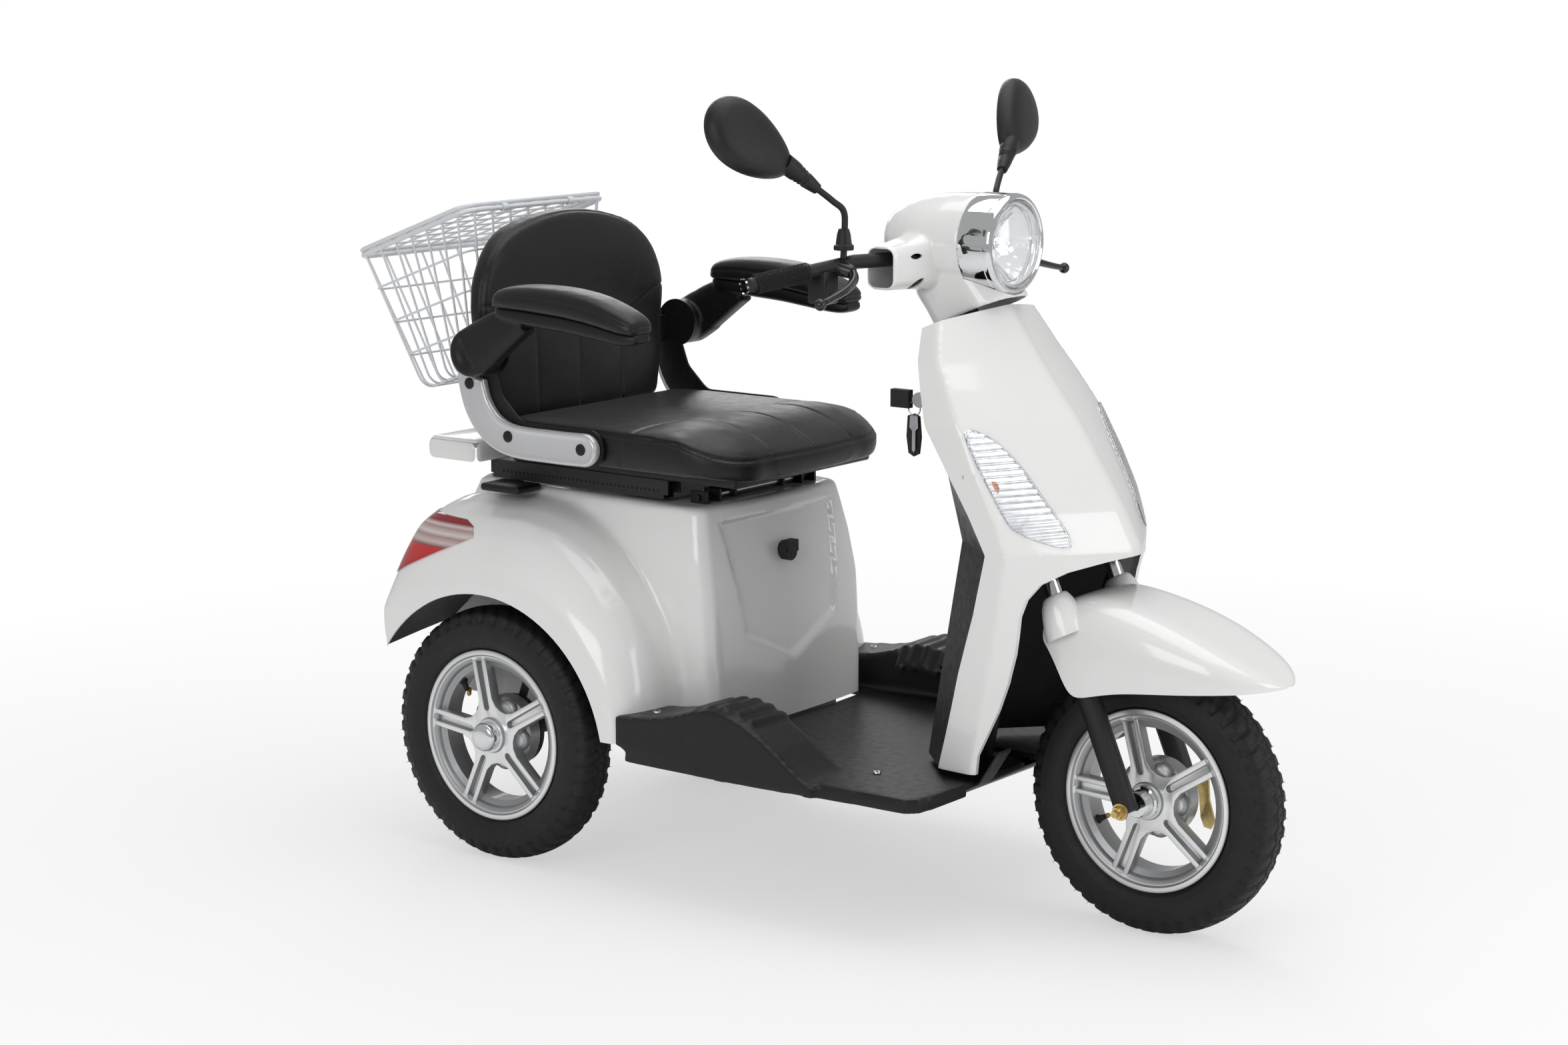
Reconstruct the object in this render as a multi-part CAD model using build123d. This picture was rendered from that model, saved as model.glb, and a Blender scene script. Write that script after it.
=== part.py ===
from build123d import *

import math
import os

# Three-wheel mobility scooter: one steered front wheel, two driven rear wheels under a hollow
# moulded body, a stepped footboard, a leg shield, a tilting and sliding seat with fold-up armrests,
# and a lidded wire basket behind the backrest.
#
# Sizes are in millimetres. X points forward, Y to the rider's left and Z up. While the pieces are
# drawn, X is measured from the rear axle and Z from the ground. On export everything moves back by
# ORIGIN_X, so that the origin lies on the ground in the middle of the scooter's length.


# Driving dimensions of the whole vehicle
WHEELBASE = 1066.0
REAR_TRACK_HALF = 296.0
FENDER_TIP_X = WHEELBASE + 220.0
BASKET_REAR_X = -433.0
ORIGIN_X = (FENDER_TIP_X + BASKET_REAR_X) / 2
GAP = 0.3  # seam between two fitted pieces

# Wheels: 3.00-10 tyres on five-spoke cast rims
AXLE_Z = 211.0  # height at which the axles are drawn; the export lifts all by the tyre's radius
TYRE_R = 211.0
TYRE_HALF_W = 41.0
TYRE_SHOULDER_HALF_W = 34.0
TYRE_SHOULDER_DROP = 14.0
TYRE_WALL = 9.0
RIM_R = 142.5
RIM_HALF_W = 34.0
RIM_FLANGE = 4.0
RIM_SEAT_R = 127.0
RIM_WELL_R = 116.0
RIM_WALL = 5.0
SPOKES = 5
SPOKE_W = 44.0
SPOKE_DEPTH = 20.0
SPOKE_GROOVE_W = 15.0
SPOKE_GROOVE_DEPTH = 9.0
HUB_R = 44.0
HUB_CAP_R = 24.0
DRUM_R = 60.0
DRUM_LENGTH = 36.0
AXLE_R = 7.0
AXLE_CLEARANCE = 0.4

# Steering: the stem leans back by RAKE, and the fork legs stand FORK_OFFSET ahead of it
RAKE = 23.0
FORK_OFFSET = 45.0
FORK_HALF_W = 90.0
FORK_LEG_R = 18.0
FORK_LEG_TOP = 205.0
STANCHION_R = 12.5
YOKE_LOW = 352.0
YOKE_HIGH = 384.0
HEAD_TUBE_LOW = 388.0
HEAD_TUBE_HIGH = 600.0
HEAD_TUBE_R = 24.0
STEM_R = 15.0
STEM_CLEARANCE = 0.5
STEM_TOP = 858.0
SHIELD_TOP_S = 766.0  # height along the stem at which the leg shield ends
NECK_GAP = 6.0

# Shell thicknesses
BODY_WALL = 4.0
SHIELD_WALL = 3.5
COWL_WALL = 3.0
FENDER_WALL = 3.0


def on_stem(s, ahead=0.0, y=0.0):
    """Point s above the front axle's level along the steering stem, ahead of it by a distance."""
    rake = math.radians(RAKE)
    foot_x = WHEELBASE - FORK_OFFSET / math.cos(rake)
    x = foot_x - s * math.sin(rake) + ahead * math.cos(rake)
    z = AXLE_Z + s * math.cos(rake) + ahead * math.sin(rake)
    return Vector(x, y, z)


def stem_plane(s, ahead=0.0, y=0.0):
    """Plane square to the steering stem, with its X forward and its Z up the stem."""
    rake = math.radians(RAKE)
    return Plane(
        origin=on_stem(s, ahead, y),
        x_dir=(math.cos(rake), 0, math.sin(rake)),
        z_dir=(-math.sin(rake), 0, math.cos(rake)),
    )


def block(x0, x1, y0, y1, z0, z1):
    """Box between two opposite corners."""
    return Pos((x0 + x1) / 2, (y0 + y1) / 2, (z0 + z1) / 2) * Box(x1 - x0, y1 - y0, z1 - z0)


def rod(start, end, radius):
    """Round bar between two points."""
    start, end = Vector(*start), Vector(*end)
    return extrude(Plane(origin=start, z_dir=end - start) * Circle(radius), (end - start).length)


def bar_y(x, z, radius, y0, y1):
    """Round bar along Y."""
    return rod((x, y0, z), (x, y1, z), radius)


def pipe(points, radius, bend):
    """Round bar bent along a polyline with one bend radius."""
    path = FilletPolyline(*points, radius=bend)
    return sweep(Plane(origin=path @ 0, z_dir=path % 0) * Circle(radius), path)


def side_profile(points, y0, y1):
    """Prism between y0 and y1 whose outline is given as (x, z) points."""
    face = make_face(Polyline(*[(x, y0, z) for x, z in points], close=True))
    return extrude(face, amount=y1 - y0, dir=(0, 1, 0))


def left(shape):
    """The same piece on the rider's left."""
    return mirror(shape, about=Plane.XZ)


def both(shape):
    """A right-hand piece and its left-hand twin."""
    return [shape, left(shape)]


def fuse(*shapes):
    """One solid out of several that touch."""
    first, *rest = shapes
    for shape in rest:
        first = first + shape
    return first


# Wheels
def make_rim():
    """Cast rim with five twin-rib spokes, a hub and a brake drum; its face looks towards -Y."""
    flange_in = RIM_HALF_W - RIM_FLANGE
    half = [
        (RIM_HALF_W, RIM_R),
        (flange_in, RIM_R),
        (flange_in, RIM_SEAT_R),
        (flange_in - 8, RIM_SEAT_R),
        (flange_in - 14, RIM_WELL_R),
    ]
    inside = [
        (flange_in - 12, RIM_WELL_R - RIM_WALL),
        (flange_in - 5, RIM_SEAT_R - RIM_WALL - 2),
        (RIM_HALF_W, RIM_SEAT_R - RIM_WALL),
    ]
    section = [(y, r) for y, r in half]
    section += [(-y, r) for y, r in reversed(half)]
    section += [(-y, r) for y, r in reversed(inside)]
    section += [(y, r) for y, r in inside]
    barrel = revolve(make_face(Polyline(*[(r, y, 0) for y, r in section], close=True)), Axis.Y)
    face_y = -RIM_HALF_W + 3
    hub = bar_y(0, 0, HUB_R, face_y + 4, face_y + SPOKE_DEPTH)
    nose = bar_y(0, 0, HUB_CAP_R + 4, face_y, face_y + 6)
    drum = bar_y(0, 0, DRUM_R, face_y + SPOKE_DEPTH, face_y + SPOKE_DEPTH + DRUM_LENGTH)
    rim = fuse(barrel, hub, nose, drum)
    spoke_end = RIM_SEAT_R - RIM_WALL - 2
    spoke = make_face(
        Polyline(
            (HUB_R * 0.5, face_y, -SPOKE_W * 0.42),
            (spoke_end, face_y, -SPOKE_W / 2),
            (spoke_end, face_y, SPOKE_W / 2),
            (HUB_R * 0.5, face_y, SPOKE_W * 0.42),
            close=True,
        )
    )
    spoke = extrude(spoke, amount=SPOKE_DEPTH, dir=(0, 1, 0))
    groove = block(
        HUB_R + 6,
        RIM_WELL_R - RIM_WALL - 2,
        face_y,
        face_y + SPOKE_GROOVE_DEPTH,
        -SPOKE_GROOVE_W / 2,
        SPOKE_GROOVE_W / 2,
    )
    spoke = spoke - groove
    for n in range(SPOKES):
        rim = rim + Rot(0, n * 360 / SPOKES, 0) * spoke
    return rim - bar_y(0, 0, AXLE_R + AXLE_CLEARANCE, -RIM_HALF_W * 2, RIM_HALF_W * 2)


def make_tyre():
    """Hollow tyre carcass that sits on the rim's bead seats."""
    bead_y = RIM_HALF_W - RIM_FLANGE - GAP
    seat = RIM_SEAT_R + GAP
    heel = RIM_R + GAP
    shoulder_r = TYRE_R - TYRE_SHOULDER_DROP
    mid_r = (heel + shoulder_r) / 2
    inner_y = bead_y - TYRE_WALL
    inner_shoulder = (shoulder_r - TYRE_WALL * 0.6, TYRE_SHOULDER_HALF_W - TYRE_WALL)
    inner_mid = (mid_r, TYRE_HALF_W - TYRE_WALL)
    shoulder, wall_mid = (shoulder_r, TYRE_SHOULDER_HALF_W), (mid_r, TYRE_HALF_W)
    outline = [
        Polyline((heel, inner_y), (seat, inner_y), (seat, bead_y), (heel, bead_y)),
        ThreePointArc((heel, bead_y), wall_mid, shoulder),
        ThreePointArc(shoulder, (TYRE_R, 0), (shoulder_r, -TYRE_SHOULDER_HALF_W)),
        ThreePointArc((shoulder_r, -TYRE_SHOULDER_HALF_W), (mid_r, -TYRE_HALF_W), (heel, -bead_y)),
        Polyline((heel, -bead_y), (seat, -bead_y), (seat, -inner_y), (heel, -inner_y)),
        ThreePointArc((heel, -inner_y), (mid_r, -inner_mid[1]), (inner_shoulder[0], -inner_shoulder[1])),
        ThreePointArc((inner_shoulder[0], -inner_shoulder[1]), (TYRE_R - TYRE_WALL, 0), inner_shoulder),
        ThreePointArc(inner_shoulder, inner_mid, (heel, inner_y)),
    ]
    return revolve(make_face(outline), Axis.Y)


def make_wheels():
    """Rims and tyres of the three wheels. The rear ones face outwards."""
    turns = {"front": 33.0, "rear_right": 30.0, "rear_left": 30.0}
    rim, tyre = make_rim(), make_tyre()
    nodes = {}
    for name, turn in turns.items():
        x = WHEELBASE if name == "front" else 0.0
        y = {"front": 0.0, "rear_right": -REAR_TRACK_HALF, "rear_left": REAR_TRACK_HALF}[name]
        turned = Rot(0, -turn, 0) * rim
        if name == "rear_left":
            turned = left(turned)
        nodes[name + "_rim"] = Pos(x, y, AXLE_Z) * turned
        nodes[name + "_tyre"] = Pos(x, y, AXLE_Z) * tyre
    return nodes


# Frame, axles and what hangs on them
FRAME_TUBE_R = 14.0
POST_R = 11.0
RAIL_Y = 130.0
RAIL_Z = 200.0
RAIL_FRONT_X = WHEELBASE - 324.0
SPINE_POINTS = [(WHEELBASE - 260, 0, 600), (WHEELBASE - 280, 0, 430)]
SPINE_R = 17.0
# stays from the head tube to the leg shield's sides
STAY_S = 540.0
STAY_X = WHEELBASE - 220.0
STAY_HALF_W = 200.0
STAY_R = 7.0
STAY_PAD_R = 13.0
STAY_PAD_T = 9.0
RAIL_KICK_X = 190.0
UPPER_RAIL_X = 110.0
UPPER_RAIL_Z = 330.0
UPPER_RAIL_REAR_X = -150.0
FRAME_JOINT_X = RAIL_KICK_X + 60.0
REAR_POST_X = -70.0
SHOCK_X = -30.0
SHOCK_Y = 165.0
SHOCK_TOP = 430.0
SHOCK_PLATE = 6.0
SHOCK_R = 20.0
SEAT_AXIS_X = 294.0
SEAT_AXIS_Z = 612.0
SEAT_AXIS_Y = 128.0
DECK_TOP = 603.0
DECK_OPENING = (-110.0, 230.0, 140.0)  # rear end, front end, half width
AXLE_TUBE_R = 20.0
GEARBOX_R = 68.0
GEARBOX_HALF_W = 60.0
MOTOR_R = 58.0
MOTOR_END_Y = 138.0
BRAKE_PLATE_T = 8.0
BATTERY_LENGTH = 120.0
BATTERY_HALF_W = 155.0
BATTERY_HEIGHT = 210.0
BATTERY_REAR_X = 228.0


def make_frame():
    """Welded tube frame: head tube, down tube, floor rails, kicked-up rear rails and seat posts."""
    length = HEAD_TUBE_HIGH - HEAD_TUBE_LOW
    head = extrude(stem_plane(HEAD_TUBE_LOW) * Circle(HEAD_TUBE_R), length)
    bore = extrude(stem_plane(HEAD_TUBE_LOW - 1) * Circle(STEM_R + STEM_CLEARANCE), length + 2)
    spine = pipe(
        [on_stem(HEAD_TUBE_LOW + length * 0.6), *SPINE_POINTS, (RAIL_FRONT_X, 0, RAIL_Z)],
        SPINE_R,
        60,
    )
    cross = bar_y(RAIL_FRONT_X, RAIL_Z, FRAME_TUBE_R, -RAIL_Y, RAIL_Y)
    frame = fuse(head, spine, cross)
    for y in (-RAIL_Y, RAIL_Y):
        rail = pipe(
            [
                (RAIL_FRONT_X, y, RAIL_Z),
                (RAIL_KICK_X, y, RAIL_Z),
                (UPPER_RAIL_X, y, UPPER_RAIL_Z),
                (UPPER_RAIL_REAR_X, y, UPPER_RAIL_Z),
            ],
            FRAME_TUBE_R,
            60,
        )
        frame = frame + rail
        for x in (UPPER_RAIL_X, REAR_POST_X):
            top = DECK_TOP - BODY_WALL - GAP
            frame = frame + rod((x, y, UPPER_RAIL_Z), (x, y, top), POST_R)
            frame = frame + block(x - 25, x + 25, y - 20, y + 20, top - 5, top)
    for x in (UPPER_RAIL_X, UPPER_RAIL_REAR_X):
        frame = frame + bar_y(x, UPPER_RAIL_Z, FRAME_TUBE_R, -RAIL_Y, RAIL_Y)
    stay_start = on_stem(STAY_S)
    for side in (-1, 1):
        stay_end = Vector(STAY_X, side * STAY_HALF_W, stay_start.Z)
        stay = rod(stay_start, stay_end, STAY_R)
        stay = stay + rod(stay_end - Vector(0, side * STAY_PAD_T, 0), stay_end, STAY_PAD_R)
        frame = frame + (stay - shield_shell(SHIELD_WALL + GAP))
    shock_plate = block(
        REAR_POST_X - 15,
        SHOCK_X + 25,
        -SHOCK_Y - 20,
        SHOCK_Y + 20,
        SHOCK_TOP,
        SHOCK_TOP + SHOCK_PLATE,
    )
    return frame + shock_plate - bore


def make_frame_halves():
    """The frame in two nodes, butted on the floor rails just ahead of the kick."""
    frame = make_frame()
    ahead = block(FRAME_JOINT_X, WHEELBASE + 100, -FENDER_HALF_W, FENDER_HALF_W, 0, 1200)
    behind = block(-400, FRAME_JOINT_X, -FENDER_HALF_W, FENDER_HALF_W, 0, 1200)
    return {"frame": frame & ahead, "rear_frame": frame & behind}


def make_rear_axle():
    """Sprung axle: gearbox and motor as plain blocks, axle tubes, wheel shafts and shock seats."""
    axle = bar_y(0, AXLE_Z, GEARBOX_R, -GEARBOX_HALF_W, GEARBOX_HALF_W)
    axle = axle + bar_y(0, AXLE_Z, MOTOR_R, GEARBOX_HALF_W, MOTOR_END_Y)
    plate_y = REAR_TRACK_HALF - 26 - BRAKE_PLATE_T
    axle = axle + bar_y(0, AXLE_Z, AXLE_TUBE_R, -plate_y, plate_y)
    end_y = REAR_TRACK_HALF + RIM_HALF_W + 12
    axle = axle + bar_y(0, AXLE_Z, AXLE_R, -end_y, end_y)
    for side in (-1, 1):
        seat = block(
            SHOCK_X - 24, 12, side * SHOCK_Y - 16, side * SHOCK_Y + 16, AXLE_Z - 8, AXLE_Z + 30
        )
        axle = axle + seat
        nut_y = side * (REAR_TRACK_HALF + RIM_HALF_W - 3)
        nut = extrude(
            Plane(origin=(0, nut_y + side * GAP, AXLE_Z), z_dir=(0, side, 0)) * RegularPolygon(13, 6), 9
        )
        axle = axle + nut
    return axle


def make_rear_brakes():
    """Brake back plates of the rear drums, each with its arm."""
    inner = REAR_TRACK_HALF - 26 - BRAKE_PLATE_T
    plate = bar_y(0, AXLE_Z, DRUM_R - 2, -inner - BRAKE_PLATE_T, -inner)
    arm = side_profile(
        [(-8, AXLE_Z + 30), (8, AXLE_Z + 30), (30, AXLE_Z + 92), (18, AXLE_Z + 96)], -inner, -inner + 5
    )
    plate = plate + arm - bar_y(0, AXLE_Z, AXLE_R + AXLE_CLEARANCE, -inner - 20, -inner + 20)
    return both(plate - bar_y(0, AXLE_Z, AXLE_TUBE_R + GAP, -inner, -inner + 20))


def make_shocks():
    """Rear spring units, standing between the axle's seats and the frame's plate."""
    bottom = AXLE_Z + 30
    body = rod((SHOCK_X, -SHOCK_Y, bottom), (SHOCK_X, -SHOCK_Y, SHOCK_TOP), 9)
    for n in range(9):
        coil_z = bottom + 18 + n * (SHOCK_TOP - bottom - 36) / 8
        coil = Pos(SHOCK_X, -SHOCK_Y, coil_z) * Cylinder(SHOCK_R, 9)
        body = body + coil
    return both(body)


def make_battery():
    """Battery pack as one plain block on the floor rails."""
    bottom = RAIL_Z + FRAME_TUBE_R + GAP
    return block(
        BATTERY_REAR_X,
        BATTERY_REAR_X + BATTERY_LENGTH,
        -BATTERY_HALF_W,
        BATTERY_HALF_W,
        bottom,
        bottom + BATTERY_HEIGHT,
    )


# Rear body
ARCH_X = -4.0
ARCH_Z = AXLE_Z - 21.0
ARCH_R = TYRE_R + 47.0
FENDER_HALF_W = 345.0
FENDER_BOTTOM_REAR = 285.0
BODY_BOTTOM = 241.0
BODY_SIDE_HALF_W = 214.0
# tub sections: height, front x, front half width, side half width, rear x, rear half width
TUB_SECTIONS = [
    (BODY_BOTTOM, 371.0, 188.0, 206.0, -205.0, 206.0),
    (450.0, 362.0, 192.0, 214.0, -215.0, 214.0),
    (DECK_TOP, 331.0, 174.0, 192.0, -185.0, 172.0),
]
# recessed panel in the tub's front: across, z
RECESS_OUTLINE = [(-150, 575), (150, 575), (119, 392), (0, 340), (-119, 392)]
RECESS_DEPTH = 5.0
# fender sections: half width, reach ahead of the arch, top x, rise over it, reach behind it, rear rise
FENDER_SECTIONS = [
    (FENDER_HALF_W, 16.0, -6.0, 20.0, -35.0, -63.0),
    (338.0, 22.0, -7.0, 34.0, -35.5, -60.0),
    (322.0, 35.0, -10.0, 58.0, -37.0, -48.0),
    (272.0, 47.0, -14.0, 104.0, -44.0, -18.0),
    (190.0, 52.0, -20.0, 140.0, -56.0, 2.0),
]


def tub(shrink, top=DECK_TOP, bottom=BODY_BOTTOM):
    """Solid of the body between the wheels, drawn in on all sides by a distance."""
    faces = []
    for z, front_x, front_half_w, side_half_w, rear_x, rear_half_w in TUB_SECTIONS:
        z = {DECK_TOP: top, BODY_BOTTOM: bottom}.get(z, z)
        front_x, rear_x = front_x - shrink, rear_x + shrink
        side_half_w, rear_half_w = side_half_w - shrink, rear_half_w - shrink
        bulge = front_x + 8
        corner = front_x - 30
        outline = [
            ThreePointArc((front_x, -front_half_w, z), (bulge, 0, z), (front_x, front_half_w, z)),
            Polyline(
                (front_x, front_half_w, z),
                (corner, side_half_w, z),
                (rear_x + 60, rear_half_w, z),
                (rear_x, rear_half_w - 50, z),
                (rear_x, 50 - rear_half_w, z),
                (rear_x + 60, -rear_half_w, z),
                (corner, -side_half_w, z),
                (front_x, -front_half_w, z),
            ),
        ]
        faces.append(make_face(outline))
    return loft(faces, ruled=True)


def fender(grow):
    """Solid of the right fender: lofted outwards from the tub's side to the lip."""
    faces = []
    arch_top = ARCH_Z + ARCH_R
    for half_w, front_reach, top_x, rise, rear_reach, rear_rise in FENDER_SECTIONS:
        front_x, rear_x = ARCH_X + ARCH_R + front_reach, ARCH_X - ARCH_R - rear_reach
        top_z, rear_z = arch_top + rise, arch_top + rear_rise
        y = -half_w - (grow if half_w == FENDER_HALF_W else 0)
        front, top = (front_x + grow, y, BODY_BOTTOM), (top_x, y, top_z + grow)
        rear = (rear_x - grow, y, rear_z)
        up = 0.74
        front_mid = (top_x + (front[0] - top_x) * up, y, BODY_BOTTOM + (top[2] - BODY_BOTTOM) * up)
        rear_mid = (top_x + (rear[0] - top_x) * up, y, rear_z + (top[2] - rear_z) * up)
        outline = [
            ThreePointArc(front, front_mid, top),
            ThreePointArc(top, rear_mid, rear),
            Polyline(rear, (rear[0] + 18, y, BODY_BOTTOM), front),
        ]
        faces.append(make_face(outline))
    return loft(faces, ruled=True)


def recess_prism(grow):
    """Block with the outline of the panel in the tub's front, grown by a distance."""
    outline = make_face(Polyline(*[(0, y, z) for y, z in RECESS_OUTLINE], close=True))
    if grow:
        outline = offset(outline, grow, kind=Kind.INTERSECTION)
    return Pos(TUB_SECTIONS[-1][1] - 60, 0, 0) * extrude(outline, 140, dir=(1, 0, 0))


def make_rear_body():
    """Hollow moulded body: a tub between the wheels and a crowned fender over each of them."""
    inner_y = FENDER_SECTIONS[-1][0]
    arch = Pos(ARCH_X, 0, ARCH_Z) * Rot(90, 0, 0) * Cylinder(ARCH_R, FENDER_HALF_W * 3)
    skin = fender(0) - fender(-BODY_WALL) - (arch & block(-400, 400, -400, -inner_y + 1, 0, 700))
    skin = skin - block(-400, -100, -400, -inner_y + 1, 0, FENDER_BOTTOM_REAR)
    below = block(-400, 400, -400, 400, 0, BODY_BOTTOM)
    skin = skin - below
    outer_tub = tub(0) - (recess_prism(0) - tub(RECESS_DEPTH))
    inner_tub = tub(BODY_WALL, DECK_TOP - BODY_WALL, BODY_BOTTOM - 1)
    inner_tub = inner_tub - (recess_prism(BODY_WALL) - tub(BODY_WALL + RECESS_DEPTH))
    shell = outer_tub + skin + left(skin) - inner_tub
    rear, front, half_w = DECK_OPENING
    shell = shell - block(rear, front, -half_w, half_w, DECK_TOP - 20, DECK_TOP + 20)
    axle_space = Pos(0, 0, AXLE_Z) * Rot(90, 0, 0) * Cylinder(130, FENDER_HALF_W * 3)
    shell = shell - (axle_space & block(-400, 400, -400, 400, 0, 700))
    for side in (-1, 1):
        y = side * SEAT_AXIS_Y
        notch = block(SEAT_AXIS_X - 26, SEAT_AXIS_X + 60, y - 22, y + 22, DECK_TOP - 20, DECK_TOP + 20)
        shell = shell - notch
    return shell


LINER_WALL = 3.0


def make_wheel_liners():
    """Black liners of the wheel wells, between the tub's sides and the fenders' outer lips."""
    y0, y1 = -FENDER_HALF_W - 1, -FENDER_SECTIONS[-1][0]
    tube = bar_y(ARCH_X, ARCH_Z, ARCH_R + GAP + LINER_WALL, y0, y1)
    tube = tube - bar_y(ARCH_X, ARCH_Z, ARCH_R + GAP, y0 - 1, y1 + 1)
    liner = (tube & fender(-BODY_WALL - GAP)) - tub(-GAP)
    liner = liner - block(-400, -100, y0, y1, 0, FENDER_BOTTOM_REAR)
    return both(max(liner.solids(), key=lambda solid: solid.volume))


# Each tail lamp wraps round the body's rear corner
# lamp outline: x from the wheel's rear, z from its top
LAMP_CORNERS = [(-49, 30), (-49, 150), (94, 158), (168, 144), (189, 119), (112, 92)]
LAMP_PROUD = 5.0
CARRIER_SIZE = (118.0, 392.0, 46.0)  # length, width and height
CARRIER_REAR_X = -262.0
CARRIER_TOP = 670.0
CARRIER_WALL = 3.0


def make_tail_lamps():
    """Tail lamps, laid on the fenders' upper rear corners."""
    corners = [(x - TYRE_R, AXLE_Z + TYRE_R + z) for x, z in LAMP_CORNERS]
    outline = side_profile(corners, -FENDER_HALF_W * 1.1, -BODY_SIDE_HALF_W)
    lamp = (fender(LAMP_PROUD) - fender(GAP) - tub(-GAP)) & outline
    lamp = max(lamp.solids(), key=lambda solid: solid.volume)
    return both(lamp)


def make_carrier():
    """Rear carrier: a white moulded plate with a skirt, open below."""
    length, width, height = CARRIER_SIZE
    plate = Box(length, width, height)
    plate = fillet(plate.edges().filter_by(Axis.Z), 24)
    plate = fillet(plate.faces().sort_by(Axis.Z)[-1].edges(), 8)
    inside = Box(length - 2 * CARRIER_WALL, width - 2 * CARRIER_WALL, height)
    inside = fillet(inside.edges().filter_by(Axis.Z), 24 - CARRIER_WALL)
    plate = plate - Pos(0, 0, -CARRIER_WALL) * inside
    return Pos(CARRIER_REAR_X + length / 2, 0, CARRIER_TOP - height / 2) * plate


def make_carrier_bracket():
    """Black bracket that stands on the body and holds the carrier plate."""
    top = CARRIER_TOP - CARRIER_WALL - GAP
    foot = DECK_TOP + GAP
    bracket = block(-235, -150, -120, 120, top - 4, top)
    for y in (-110, 110):
        bracket = bracket + block(-180, -152, y - 10, y + 10, foot, top)
    return bracket


# Footboard
FLOOR_TOP = 235.0
FLOOR_HALF_W = 322.0
FLOOR_FRONT_X = WHEELBASE - 224.0
FLOOR_SKIRT_BOTTOM = 214.0
FLOOR_THICKNESS = 5.0
FLOOR_SLOT_X = FLOOR_FRONT_X - 120.0
WING_REAR_X = 274.0
WING_HALF_W = 340.0
WING_WALL = 6.0
WING_TOP = [
    (WING_REAR_X, 287),
    (330, 292),
    (392, 304),
    (440, 320),
    (475, 325),
    (520, 316),
    (581, 284),
    (640, 241),
]
HUMP_RIBS = [455, 478, 501, 524]


def wing_outline(drop, y0, y1):
    """Side wing of the footboard between two widths, lowered by drop."""
    points = [(x, z - drop) for x, z in WING_TOP]
    rear = [(WING_REAR_X, FLOOR_SKIRT_BOTTOM + 26)]
    return side_profile(rear + points + [(640, FLOOR_SKIRT_BOTTOM)], y0, y1)


def make_footboard():
    """Moulded footboard: a flat floor with a skirt, and a humped wing either side of the body."""
    rear_x = TUB_SECTIONS[0][1] + 2
    plan = [
        (rear_x - 80, -WING_HALF_W + 30),
        (560, -WING_HALF_W + 4),
        (640, -FLOOR_HALF_W - 6),
        (FLOOR_FRONT_X - 20, -FLOOR_HALF_W),
        (FLOOR_FRONT_X, -FLOOR_HALF_W + 30),
    ]
    plan = plan + [(x, -y) for x, y in reversed(plan)]
    floor = extrude(make_face(Polyline(*[(x, y, FLOOR_TOP) for x, y in plan], close=True)), -21)
    pan = offset(make_face(Polyline(*plan, close=True)), -FLOOR_THICKNESS)
    floor = floor - extrude(Plane.XY.offset(FLOOR_SKIRT_BOTTOM - 1) * pan, 21 - FLOOR_THICKNESS + 1)
    inner_y = BODY_SIDE_HALF_W - 4
    wing = wing_outline(0, -WING_HALF_W, -inner_y)
    wing = wing - wing_outline(WING_WALL, -WING_HALF_W + WING_WALL, -inner_y + 200)
    for x in HUMP_RIBS:
        rib = rod((x, -WING_HALF_W + 26, 322), (x, -inner_y - 22, 322), 9)
        wing = wing + (rib - wing_outline(0, -WING_HALF_W, -inner_y))
    body_space = fender(GAP)
    footboard = floor
    for side_wing in both(wing - body_space):
        footboard = footboard + side_wing
    for space in both(body_space):
        footboard = footboard - space
    footboard = footboard - tub(-GAP, DECK_TOP, 100)
    spine_slot = block(FLOOR_SLOT_X, FLOOR_FRONT_X + 1, -SPINE_R - 6, SPINE_R + 6, 0, 400)
    skirt_half = BELLY_HALF_W + 5
    skirt_top = FLOOR_TOP - FLOOR_THICKNESS
    skirt_space = block(FLOOR_SLOT_X + 60, FLOOR_FRONT_X + 1, -skirt_half, skirt_half, 0, skirt_top)
    footboard = footboard - spine_slot - skirt_space
    return max(footboard.solids(), key=lambda solid: solid.volume)


# Leg shield
SHIELD_BOTTOM = 246.0
SHIELD_TOE_IN = 6.0
# shield sections: height, then back from the front axle: rear edge, crease; half width; nose, bulge
SHIELD_SECTIONS = [
    (SHIELD_BOTTOM, 289.0, 228.0, 176.0, 56.0, 354.0),
    (406.0, 242.0, 186.0, 190.0, 36.0, 322.0),
    (593.0, 188.0, 150.0, 203.0, 48.0, 285.0),
    (705.0, 253.0, 198.0, 204.0, 114.0, 316.0),
    (777.0, 303.0, 236.0, 197.0, 161.0, 328.0),
    (870.0, 336.0, 294.0, 168.0, 234.0, 366.0),
    (950.0, 354.0, 324.0, 118.0, 290.0, 396.0),
]
# wheel arch of the leg shield: x from the front axle, z
SHIELD_ARCH = [
    (-220, 240),
    (-213, 277),
    (-180, 352),
    (-154, 440),
    (-144, 500),
    (-122, 548),
    (-63, 576),
    (-6, 589),
    (54, 597),
    (54, 240),
]
INNER_SHIELD_WALL = 4.0
INNER_SHIELD_SPARE = 3.0  # drawn wider by this, then trimmed to the leg shield's wall
BULGE_SHARE = 0.56  # half width of the bulge as a share of the shield's


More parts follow.
